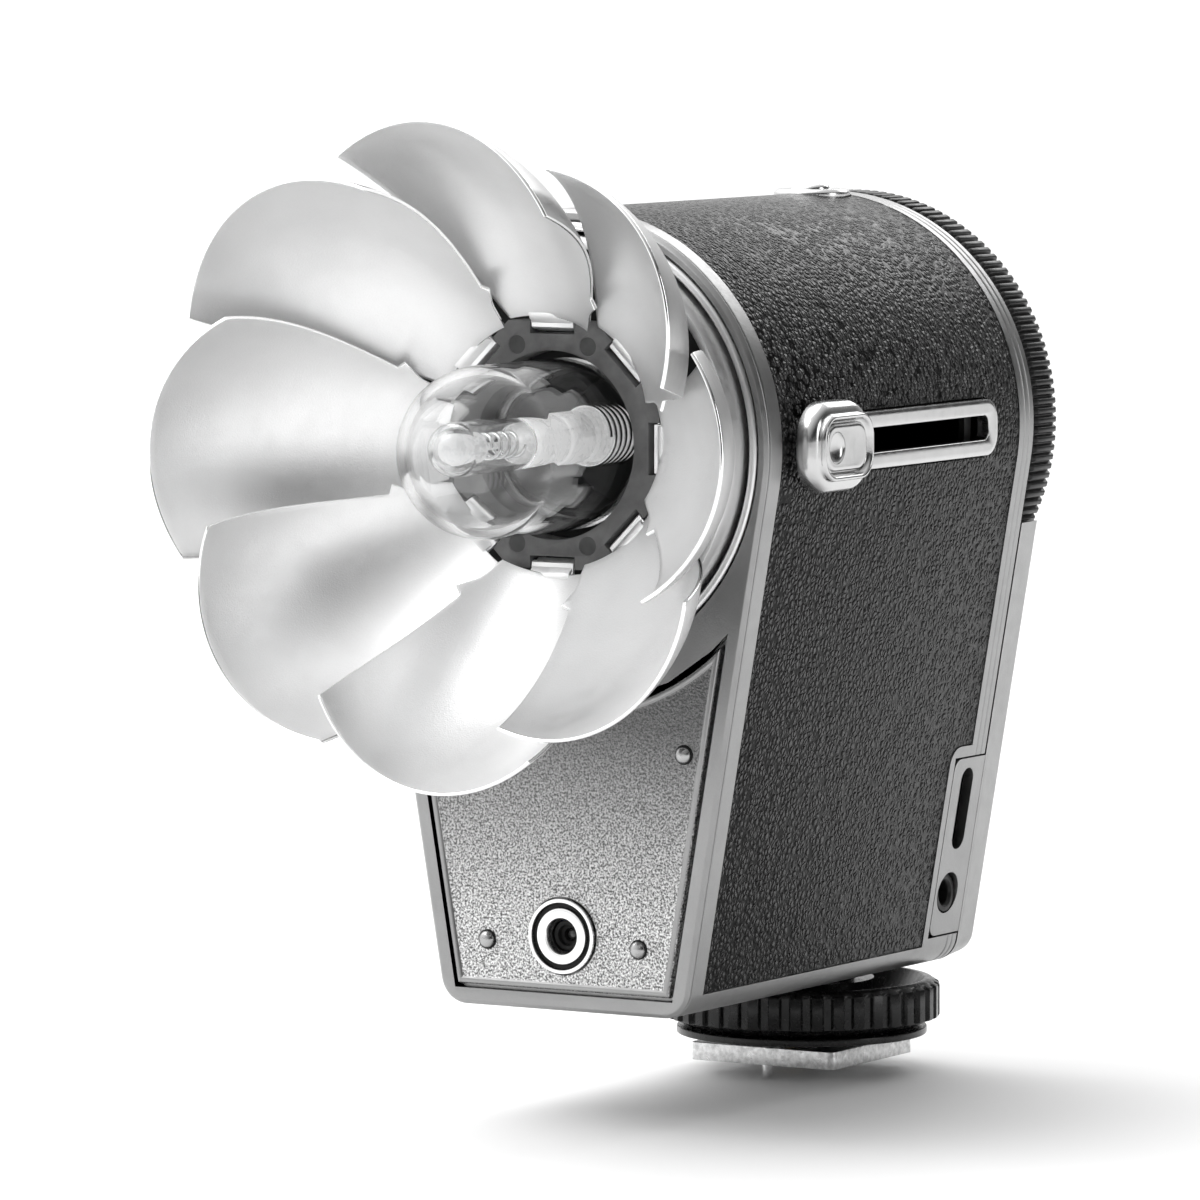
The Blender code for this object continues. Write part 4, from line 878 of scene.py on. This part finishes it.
def make_barrel():
    """Collar, guide tube and the sliding sleeve behind the leaves."""
    collar = [(TUBE_BORE_R, -52.2), (TUBE_BORE_R + 0.35, COLLAR_FACE_Y), (COLLAR_R - 0.25, COLLAR_FACE_Y),
              (COLLAR_R, -52.35), (COLLAR_R, -51.95), (TUBE_R, -51.9), (TUBE_R, COLLAR_BACK_Y),
              (TUBE_BORE_R, COLLAR_BACK_Y)]
    turned_piece("barrel_ring", collar, "Y", BARREL_AXIS, 200, "sleeve", "barrel_collar", closed=True,
                 ease=0.1, steps=2)
    front, back = ends("guide_tube", "y")
    tube = [(TUBE_BORE_R, front), (TUBE_R, front), (TUBE_R, back), (TUBE_BORE_R, back)]
    shaped_piece("inner_tube", turned(tube, "Y", BARREL_AXIS, 144, closed=True), "tube_black", "guide_tube",
                 [block((18, 30), (-45.3, -5.5), (AXIS_Z - 1.7, AXIS_Z + 1.7))])
    web_front, web_back = HUB_BACK_Y + 0.4, HUB_BACK_Y + 1.9
    sleeve = rounded([(SLEEVE_BORE_R, SLEEVE_Y[0]), (SLEEVE_R, SLEEVE_Y[0]), (SLEEVE_R, SLEEVE_Y[1]),
                      (SLEEVE_BORE_R, SLEEVE_Y[1]), (SLEEVE_BORE_R, web_back), (8.7, web_back),
                      (8.7, web_front), (SLEEVE_BORE_R, web_front)], 0.15, steps=2)
    shell = raw_object("sleeve_shell", turned(sleeve, "Y", BARREL_AXIS, 200, closed=True))
    for face in shell.data.polygons:
        face.material_index = int(hypot(face.center.x, face.center.z - AXIS_Z * MM) < 18 * MM)
    piece(shell, "sleeve", "reflector_sleeve", also=("dark",))


def make_slide():
    """Slot frame with its raised lip, and the knob with a dished, ringed pad."""
    frame_x = SLOT_X[1]
    bar = stack_x([(*slot_section(grow), x) for grow, x in (
        (0, SLOT_X[0]), (0, frame_x - 0.22), (-0.07, frame_x - 0.06), (-0.22, frame_x), (-0.6, frame_x))],
                  sum(SLOT_Y) / 2, AXIS_Z)
    gap_y = (SLOT_Y[0] + 1.0, SLOT_Y[1] - 2.1)
    gap = prism_x((gap_y[1] - gap_y[0], 2 * SLOT_OPEN_HALF), 1.0, (20, 30), sum(gap_y) / 2, AXIS_Z)
    shaped_piece("slot_frame", bar, "chrome", "slot_escutcheon", [gap], (0.16, 3, 50))

    base_x, top_x = KNOB_X
    width, height = KNOB_SIZE
    levels = [((width - narrower, height - lower), radius, start + level)
              for start, contours in zip(KNOB_X, (KNOB_SKIRT, KNOB_PAD))
              for narrower, lower, radius, level in contours]
    knob = raw_object("knob_cap", stack_x(levels, KNOB_Y, AXIS_Z, 12))
    dimple = dome_profile(1.75, top_x - 0.4, 0.55) + [(1.75, top_x + 1), (0, top_x + 1)]
    carve(knob, [turned(dimple, "X", (0, KNOB_Y - 2.15, AXIS_Z), 64)])
    carve(knob, [prism_x((6.0, 2.1), 0.8, (SLEEVE_R + 0.3, base_x + 0.5), KNOB_Y, AXIS_Z)], "UNION")
    piece(knob, "chrome", "slider_knob", smooth=50)


# ---- hub and leaves

def leaf_point(index, radius, ahead, across):
    """World point of a leaf: its own radius, distance ahead of the hub, and clockwise offset across."""
    angle = 2 * pi * index / LEAVES
    sideways = Vector((sin(angle), 0, -cos(angle)))
    return Vector((0, HUB_FRONT_Y - ahead, AXIS_Z)) + radial(angle) * radius + sideways * across


def leaf_profile(along):
    """Radius and distance ahead of the hub along a leaf's middle: a chord with an outward bulge."""
    chord = Vector((LEAF_RIM[0] - LEAF_ROOT[0], LEAF_RIM[1] - LEAF_ROOT[1]))
    outward = Vector((chord.y, -chord.x)).normalized()
    peak = LEAF_BULGE_BIAS / (1 + LEAF_BULGE_BIAS)
    swell = along ** LEAF_BULGE_BIAS * (1 - along) / (peak ** LEAF_BULGE_BIAS * (1 - peak))
    spot = Vector(LEAF_ROOT) + chord * along + outward * LEAF_BULGE * swell
    return spot.x, spot.y


def turn_about_hinge(radius, ahead, angle):
    """Turn a spot of a leaf's (radius, ahead) plane about the hinge; positive folds it inwards."""
    out, forward = radius - HINGE_R, ahead + HINGE_BEHIND
    return (HINGE_R + out * cos(angle) - forward * sin(angle),
            -HINGE_BEHIND + out * sin(angle) + forward * cos(angle))


def leaf_reach(along, across):
    """Angle that a leaf covers round the barrel when folded: wide on its over side."""
    root, rim = LEAF_OVER_ANGLES if across > 0 else LEAF_UNDER_ANGLES
    reach = root + (rim - root) * along ** 0.8
    if across > 0 and BARB_ALONG[0] < along < BARB_ALONG[1]:
        rise = (along - BARB_ALONG[0]) / (BARB_ALONG[1] - BARB_ALONG[0])
        reach += BARB_DEGREES * rise * across ** 12
    return across * radians(reach)


def leaf_section(along, across, lift):
    """Radius, distance ahead and offset across at one spot of a leaf's sheet, unfolded."""
    fold = radians(LEAF_FOLD)
    along *= 1 - LEAF_RIM_TRIM * (1 - cos(leaf_reach(1, across)))
    folded_r, folded_ahead = turn_about_hinge(*leaf_profile(along), fold)
    angle = leaf_reach(along, across)
    shell_r = folded_r - LEAF_SPIRAL * angle + lift
    radius, ahead = turn_about_hinge(shell_r * cos(angle), folded_ahead, -fold)
    return radius, ahead, shell_r * sin(angle)


def leaf_sheet(index, long_steps=44, cross_steps=40):
    """One leaf as a thin closed shell with a rounded border of its own material, a painted highlight."""
    bm = bmesh.new()
    rim = [(share * LEAF_T, out) for share, out in LEAF_BORDER]

    def spot(i, j, lift, out=0.0):
        """A grid spot of the sheet at one level, moved `out` past the border that it lies on."""
        along = 0.006 + 0.988 * i / long_steps + out * ((i == long_steps) - (i == 0))
        across = (2 * j / cross_steps - 1) * 0.994 + out * ((j == cross_steps) - (j == 0))
        return bm.verts.new(leaf_point(index, *leaf_section(along, across, lift)))

    sheets = {}
    for lift in (rim[0][0], rim[-1][0]):
        grid = [[spot(i, j, lift) for j in range(cross_steps + 1)] for i in range(long_steps + 1)]
        sheets[lift] = grid
        for i in range(long_steps):
            for j in range(cross_steps):
                face = bm.faces.new((grid[i][j], grid[i][j + 1], grid[i + 1][j + 1], grid[i + 1][j]))
                face.material_index = 2 if lift > 0 else 0
    border = ([(0, j) for j in range(cross_steps)]
              + [(i, cross_steps) for i in range(long_steps)]
              + [(long_steps, j) for j in range(cross_steps, 0, -1)]
              + [(i, 0) for i in range(long_steps, 0, -1)])
    rows = [[sheets[lift][i][j] if lift in sheets else spot(i, j, lift, out) for i, j in border]
            for lift, out in rim]
    # The border faces take the second material: a painted highlight along the leaf's edge.
    for upper, lower in zip(rows, rows[1:]):
        for k in range(len(border)):
            m = (k + 1) % len(border)
            bm.faces.new((upper[k], upper[m], lower[m], lower[k])).material_index = 1
    return bm


def leaf_bar(index, outline, half):
    """Run a (radius, ahead) outline across the root of a leaf."""
    return loft([[leaf_point(index, r, a, across) for r, a in outline] for across in (-half, half)])


def make_leaves():
    """Eight nested leaves, each with the tab that wraps its pin and the flat root that fills its notch."""
    radius, ahead = LEAF_ROOT
    tab = arc((HINGE_R, -HINGE_BEHIND), 0.55, radians(200), radians(380), 14) + [
        (radius + 0.35, ahead + 0.1), (radius + 0.3, ahead + 0.5), (radius - 0.35, ahead + 0.2)]
    notch_r = HUB_APOTHEM - NOTCH_DEPTH
    root = [(notch_r + 0.45, -0.5), (14.5, -0.3), (14.7, 0.35), (14.2, 0.42), (13.6, 0.05),
            (notch_r + 0.7, -0.08)]
    for index in range(LEAVES):
        node = f"petal_{index + 1}"
        # The leaf's border takes the edge finish, a painted highlight; its outer face takes leaf_back.
        shaped_piece(f"leaf_{index + 1}", leaf_sheet(index), "leaf", node, smooth=60,
                     also=("edge", "leaf_back"))
        for name, outline, half, ease in (("tab", tab, TAB_HALF, 0.06),
                                          ("root", root, TAB_HALF + 0.12, 0.05)):
            shaped_piece(f"leaf_{name}_{index + 1}", leaf_bar(index, outline, half), "leaf", ease=(ease,),
                         body=BODY_OF[node])
        keep(f"petal_pin_{index + 1}", "bright")


def make_hub():
    """Black octagonal ring with a notch for each leaf and flush round plugs."""
    corner_r = HUB_APOTHEM / cos(pi / LEAVES)
    outer = [(corner_r * cos(pi * (2 * k + 1) / LEAVES),
              AXIS_Z + corner_r * sin(pi * (2 * k + 1) / LEAVES)) for k in range(LEAVES)]
    cutters = [drill("Y", BARREL_AXIS, HUB_BORE_R, FRONT_CUT_Y, 128)]
    for index in range(LEAVES):
        corners = [(HUB_APOTHEM - NOTCH_DEPTH, -NOTCH_HALF), (HUB_APOTHEM + 3, -NOTCH_HALF),
                   (HUB_APOTHEM + 3, NOTCH_HALF), (HUB_APOTHEM - NOTCH_DEPTH, NOTCH_HALF)]
        cutters.append(loft([[leaf_point(index, r, ahead, across) for r, across in corners]
                             for ahead in (3, -6)]))
    for degrees in (67.5, 112.5, -67.5, -112.5):
        angle = radians(degrees)
        spot = (PLUG_RING_R * cos(angle), 0, AXIS_Z + PLUG_RING_R * sin(angle))
        cutters.append(drill("Y", spot, PLUG_R, (FRONT_CUT_Y[0], HUB_FRONT_Y + PLUG_SINK), 40))
    hub = shaped_piece("hub_octagon", prism_y(outer, (HUB_FRONT_Y, HUB_BACK_Y)), "hub", "hub_ring", cutters,
                       (0.1,), also=("plug",))
    for face in hub.data.polygons:
        level = face.center.y / MM - HUB_FRONT_Y
        if abs(level - PLUG_SINK) < 0.01 and abs(face.normal.y) > 0.99:
            face.material_index = 1


# ---- lamp

def capsule(radius, thickness, tip_y, rear_y, steps):
    """Closed profile of a round-ended glass tube that opens at the rear."""
    centre_y = tip_y + radius
    outer, inner = [[(r * sin(pi / 2 * i / steps), centre_y - r * cos(pi / 2 * i / steps))
                     for i in range(steps + 1)] for r in (radius, radius - thickness)]
    return outer + [(radius, rear_y), (radius - thickness, rear_y)] + inner[::-1]


def coil(radius, wire_r, turns, y_start, y_end, centre, steps_per_turn=40, sides=10):
    """A round wire wound about a line along Y through `centre`."""
    sections = []
    total = int(turns * steps_per_turn)
    for i in range(total + 1):
        angle = 2 * pi * turns * i / total
        outward = radial(angle)
        middle = Vector((centre[0], y_start + (y_end - y_start) * i / total, centre[2])) + outward * radius
        sections.append([middle + outward * wire_r * cos(2 * pi * k / sides)
                         + Vector((0, 1, 0)) * wire_r * sin(2 * pi * k / sides)
                         for k in range(sides)])
    return loft(sections)


def make_lamp():
    """Glass dome round the flash tube, its etched seal and windings, and the deep black cup."""
    dome = capsule(DOME_R, 1.0, DOME_CENTRE_Y - DOME_R, HUB_BACK_Y, 32)
    turned_piece("dome", dome, "Y", BARREL_AXIS, 160, "glass", "glass_dome", smooth=60)
    cup_high = span("lamp_socket")[1]
    floor_y = cup_high.y - 1.0
    tube = capsule(TUBE_R_GLASS, 0.5, TUBE_TIP_Y - 0.6, -60.5, 20)
    turned_piece("xenon_tube", tube, "Y", LAMP_LINE, 96, "tube_glass", "flash_tube", smooth=60)
    seal = [(0, -60.2), (2.3, -60.2), (2.9, -59.4), (2.9, -55.0), (2.6, -54.6), (2.9, -54.2), (2.9, -49.6)]
    seal += [(2.5 + 0.55 * (k % 2), -49.2 + 0.55 * k) for k in range(15)]
    seal += [(2.5, floor_y - 0.1), (0, floor_y - 0.1)]
    # The seal and the electrode carry a faint painted glow; the flash is not firing.
    turned_piece("etched_seal", seal, "Y", LAMP_LINE, 96, "frosted_painted_glow", ease=0.3, body="reflector", smooth=60)
    anode = [(0, -74.6), (1.3, -74.3), (1.7, -73.4), (1.7, -69.6), (1.3, -68.9), (0.45, -68.6),
             (0.35, -60.6), (0, -60.6)]
    turned_piece("electrode", anode, "Y", LAMP_LINE, 48, "frosted_painted_glow", ease=0.3, body="reflector", smooth=50)
    shaped_piece("filament", coil(1.35, 0.22, 4.0, -68.2, -61.2, LAMP_LINE), "bright", body="reflector",
                 smooth=60)
    low, high = ends("trigger_wire", "y")
    shaped_piece("trigger_winding", coil(3.3, 0.24, 6.0, low + 0.3, high - 0.3, LAMP_LINE), "bright",
                 "trigger_wire", smooth=60)
    rim_y, cup_r = HUB_BACK_Y + 0.3, cup_high.x
    cup = [(0, floor_y), (cup_r - 0.8, floor_y), (cup_r - 0.8, rim_y), (cup_r, rim_y),
           (cup_r, cup_high.y), (0, cup_high.y)]
    turned_piece("lamp_cup", cup, "Y", BARREL_AXIS, 128, "dark", "lamp_socket", ease=0.2)


# ---- back and controls

def ribbed_ring(levels, teeth, axis, centre, bore_r, land, flank):
    """A ring with rounded ribs: levels are (along, tip radius, root radius), front to back."""
    sections = []
    shape = ((0.0, 0.0), (land * 0.5, 0.0), (land * 0.5 + flank * 0.35, 0.22),
             (land * 0.5 + flank * 0.7, 0.75), (land * 0.5 + flank, 1.0))
    marks = shape + tuple((1 - t, h) for t, h in shape[:0:-1])
    for along, tip, root in levels:
        sections.append([around(axis, centre, tip + (root - tip) * h, along, 2 * pi * (k + t) / teeth)
                         for k in range(teeth) for t, h in marks])
    for along in (levels[-1][0], levels[0][0]):
        sections.append([around(axis, centre, bore_r, along, 2 * pi * (k + t) / teeth)
                         for k in range(teeth) for t, h in marks])
    return loft(sections, cyclic=True)


def make_back():
    """Ribbed power dial round a turned metal disc with an engraved scale."""
    low, high = DIAL_FRONT_Y, BACK_Y
    tip, root = BODY_R, BODY_R - 0.5
    levels = [(low, root - 0.5, root - 0.5), (low + 0.35, root - 0.25, root - 0.25),
              (low + 0.5, root - 0.2, root - 0.25), (low + 0.75, tip - 0.08, root),
              (low + 0.95, tip, root), (high - 0.75, tip, root), (high - 0.45, tip - 0.1, root),
              (high - 0.2, tip - 0.4, root - 0.1), (high - 0.05, root - 0.4, root - 0.4),
              (high, root - 0.8, root - 0.8)]
    ring = ribbed_ring(levels, DIAL_TEETH, "Y", BARREL_AXIS, DIAL_BORE_R, 0.42, 0.24)
    shaped_piece("dial_rim", ring, "dial", "dial_ring", smooth=50)
    plate_r = DIAL_BORE_R - 0.25
    plate = [(0, BACK_Y - 0.4), (plate_r - 0.55, BACK_Y - 0.4), (plate_r, BACK_Y - 0.9),
             (plate_r, DIAL_FRONT_Y), (0, DIAL_FRONT_Y)]
    turned_piece("dial_disc", plate, "Y", BARREL_AXIS, 160, "brushed_dial", "dial_plate", ease=0.2)
    for step in range(-SCALE_STEPS, SCALE_STEPS + 1):
        angle = radians(90 + step * SCALE_DEGREES)
        length = SCALE_LONG if step % 2 == 0 else SCALE_SHORT
        outward = radial(angle)
        across = Vector((-sin(angle), 0, cos(angle)))
        corners = [[Vector((0, y, AXIS_Z)) + outward * r + across * side * SCALE_HALF
                    for r, side in ((SCALE_R - length, -1), (SCALE_R, -1),
                                    (SCALE_R, 1), (SCALE_R - length, 1))]
                   for y in (BACK_Y - 0.55, BACK_Y - 0.37)]
        shaped_piece(f"scale_tick_{step + SCALE_STEPS + 1}", loft(corners), "dark", body="body")


def make_test_button():
    """Test button and its bezel on top of the casing."""
    spot = (0, TEST_Y, 0)
    low, high = span("test_bezel")
    rim = [(TEST_R + 0.15, low.z), (3.1, low.z), (3.1, 97.45), (4.3, 97.45), (4.3, high.z - 0.35),
           (3.9, high.z), (TEST_R + 0.5, high.z), (TEST_R + 0.15, high.z - 0.3)]
    turned_piece("test_ring", rim, "Z", spot, 96, "chrome", "test_bezel", closed=True, ease=0.12, steps=3)
    top = span("test_button")[1].z
    cap = [(0, top - 0.12), (0.9, top - 0.05), (TEST_R - 0.35, top), (TEST_R, top - 0.4), (TEST_R, 94.6),
           (0, 94.6)]
    turned_piece("test_cap", cap, "Z", spot, 72, "bright", "test_button", ease=0.2)


# ---- hot shoe

def make_shoe():
    """Foot, stem, washer, ribbed lock ring and the two pins."""
    foot = loft([[(x, y, z) for x, y in rounded_rectangle(2 * FOOT_HALF, 2 * FOOT_HALF, 0.8)]
                 for z in (0, FOOT_T)])
    shaped_piece("foot_plate", foot, "foot", "shoe_foot", [
        drill("Z", (0, y, 0), radius, (-3, 5), 40)
        for y, radius in ((CONTACT_Y, 1.0), (LOCATING_Y, 0.85))], (0.16, 3))
    stem = rounded([(0, FOOT_T + 0.3), (STEM_R, FOOT_T + 0.3), (STEM_R, STEM_FLANGE_Z[0]),
                    (7.7, STEM_FLANGE_Z[0]), (7.7, STEM_FLANGE_Z[1]), (0, STEM_FLANGE_Z[1])], 0.15, False)
    shaped_piece("stem_post", turned(stem, "Z", (0, 0, 0), 96), "ring", "shoe_stem",
                 [drill("Z", (0, CONTACT_Y, 0), 1.3, (1, 5.6), 40)])
    keep("centre_contact", "gilt")
    low, high = ends("locating_pin", "z")
    pin = [(0, low), (0.45, low), (0.62, low + 0.2), (0.62, high), (0, high)]
    turned_piece("shoe_pin", pin, "Z", (0, LOCATING_Y, 0), 40, "bright", "locating_pin", ease=0.08)
    low, high = span("clamp_washer")
    washer = [(RING_BORE_R, low.z), (high.x, low.z), (high.x, high.z), (RING_BORE_R, high.z)]
    turned_piece("clamp_disc", washer, "Z", (0, 0, 0), 128, "ring", "clamp_washer", closed=True, ease=0.15,
                 steps=3)

    low, high = RING_Z
    tip, root = RING_R, RING_R - 0.5
    levels = [(low, root - 1.9, root - 1.9), (low + 0.55, root - 0.75, root - 0.75),
              (low + 0.7, root - 0.55, root - 0.6), (low + 0.95, tip - 0.12, root),
              (low + 1.15, tip, root), (high - 0.85, tip, root), (high - 0.6, tip - 0.1, root),
              (high - 0.4, root, root - 0.05), (high - 0.12, root - 0.35, root - 0.35),
              (high, root - 0.8, root - 0.8)]
    recess = rounded([(STEM_R + 2.2, 6.0), (12.4, 6.0), (14.2, 9.6), (14.2, 12), (STEM_R + 2.2, 12)], 0.4)
    ring = ribbed_ring(levels, RING_RIBS, "Z", (0, 0, 0), RING_BORE_R, 0.46, 0.1)
    shaped_piece("lock_knob", ring, "ring", "lock_ring", [turned(recess, "Z", (0, 0, 0), 160, closed=True)],
                 smooth=40)


# ---- stage

CAMERA_AZIMUTH = 30.852
CAMERA_ELEVATION = 4.741
CAMERA_DISTANCE = 1006.0
CAMERA_OFFSET = (-22.90, 51.71)        # to the right of and above the origin, in the picture plane
CAMERA_LENS = 265.76
SENSOR_WIDTH = 36.0

# Softboxes: name, (degrees round, degrees up), distance and size in metres, radiance
SOFTBOXES = (("right_side", (98, 14), 0.9, (0.30, 0.45), 3.2),
             ("front_key", (-30, 48), 1.0, (0.5, 0.5), 4.2),
             ("rear_top", (182, 32), 0.9, (0.5, 0.3), 3.0))
BROAD_TOP_STRENGTH = 1.55
BROAD_TOP_SPREAD = 70
BROAD_TOP_TILT = (-6, -32)
SURROUND_SIDE = (-0.78, 0.0, 0.62)      # direction in which the surround is brightest
SURROUND_SPREAD = (-0.3, 1.0)           # cosines to that direction between which it brightens
SURROUND_LEVELS = (0.03, 1.7)
FLOOR_REACH = 40000


def make_camera():
    """The camera that took the photo, as fitted to the object's edges."""
    azimuth, elevation = radians(CAMERA_AZIMUTH), radians(CAMERA_ELEVATION)
    back = Vector((sin(azimuth) * cos(elevation), -cos(azimuth) * cos(elevation), sin(elevation)))
    right = Vector((cos(azimuth), sin(azimuth), 0))
    up = back.cross(right)
    data = bpy.data.cameras.new("camera")
    data.lens = CAMERA_LENS
    data.sensor_width = SENSOR_WIDTH
    data.clip_start, data.clip_end = 0.05, 100.0
    camera = add_object("camera", data)
    camera.rotation_mode = "QUATERNION"
    camera.rotation_quaternion = Matrix((right, up, back)).transposed().to_quaternion()
    camera.location = (back * CAMERA_DISTANCE + right * CAMERA_OFFSET[0] + up * CAMERA_OFFSET[1]) * MM
    bpy.context.scene.camera = camera


def softbox(name, direction, distance, size, radiance):
    """A rectangular area light of a given surface brightness, turned towards the object.

    direction is (degrees round from the camera's side, towards +X positive; degrees above the floor).
    """
    aim = Vector((0, -0.02, 0.06))
    turn, rise = radians(direction[0]), radians(direction[1])
    spot = aim + distance * Vector((sin(turn) * cos(rise), -cos(turn) * cos(rise),
                                    sin(rise)))
    data = bpy.data.lights.new(name, "AREA")
    data.shape = "RECTANGLE"
    data.size, data.size_y = size
    data.energy = radiance * pi * size[0] * size[1]
    light = add_object(name, data)
    light.location = spot
    light.rotation_mode = "QUATERNION"
    light.rotation_quaternion = (spot - aim).to_track_quat("Z", "Y")


def make_world(bright_side, dim, bright):
    """A surround that brightens smoothly from one side of the room to the other."""
    world = bpy.data.worlds.new("surround")
    world.use_nodes = True
    sky = Nodes(world.node_tree)
    place = sky.node("ShaderNodeTexCoord").outputs["Generated"]
    facing = sky.node("ShaderNodeVectorMath", {0: place, 1: bright_side}, operation="DOT_PRODUCT")
    background = sky.tree.nodes["Background"].inputs
    sky.link(sky.ramp(facing.outputs["Value"], *SURROUND_SPREAD, dim, bright), background["Strength"])
    background["Color"].default_value = rgba(1.0)
    bpy.context.scene.world = world


def make_stage():
    """Pale floor, one broad soft light from above and three softboxes."""
    floor_z = CAD_BOX[0].z / MM
    bm = bmesh.new()
    bm.faces.new([bm.verts.new((x * FLOOR_REACH, y * FLOOR_REACH, floor_z))
                  for x, y in ((-1, -1), (1, -1), (1, 1), (-1, 1))])
    floor = raw_object("floor", bm)
    pale = Finish("pale_floor", 0.78, 0.7)
    pale.tint(pale.noise(400, 3.0), 0.79, 0.83)
    floor.data.materials.append(pale.material)

    make_world(SURROUND_SIDE, *SURROUND_LEVELS)
    sun = bpy.data.lights.new("broad_top", "SUN")
    sun.energy = BROAD_TOP_STRENGTH
    sun.angle = radians(BROAD_TOP_SPREAD)
    add_object("broad_top", sun).rotation_euler = (*map(radians, BROAD_TOP_TILT), 0)
    for light in SOFTBOXES:
        softbox(*light)
    bpy.context.scene.view_settings.view_transform = "Standard"


# ---- all of it

for make in (make_mid_case, make_leather, make_front, make_rear_cover, make_ports, make_barrel, make_slide,
             make_leaves, make_hub, make_lamp, make_back, make_test_button, make_shoe):
    make()
for spare, look in (("rear_bulkhead", "dark"), ("battery", "battery"), ("capacitor", "dark"),
                    ("main_board", "board")):
    keep(spare, look)
make_camera()
make_stage()
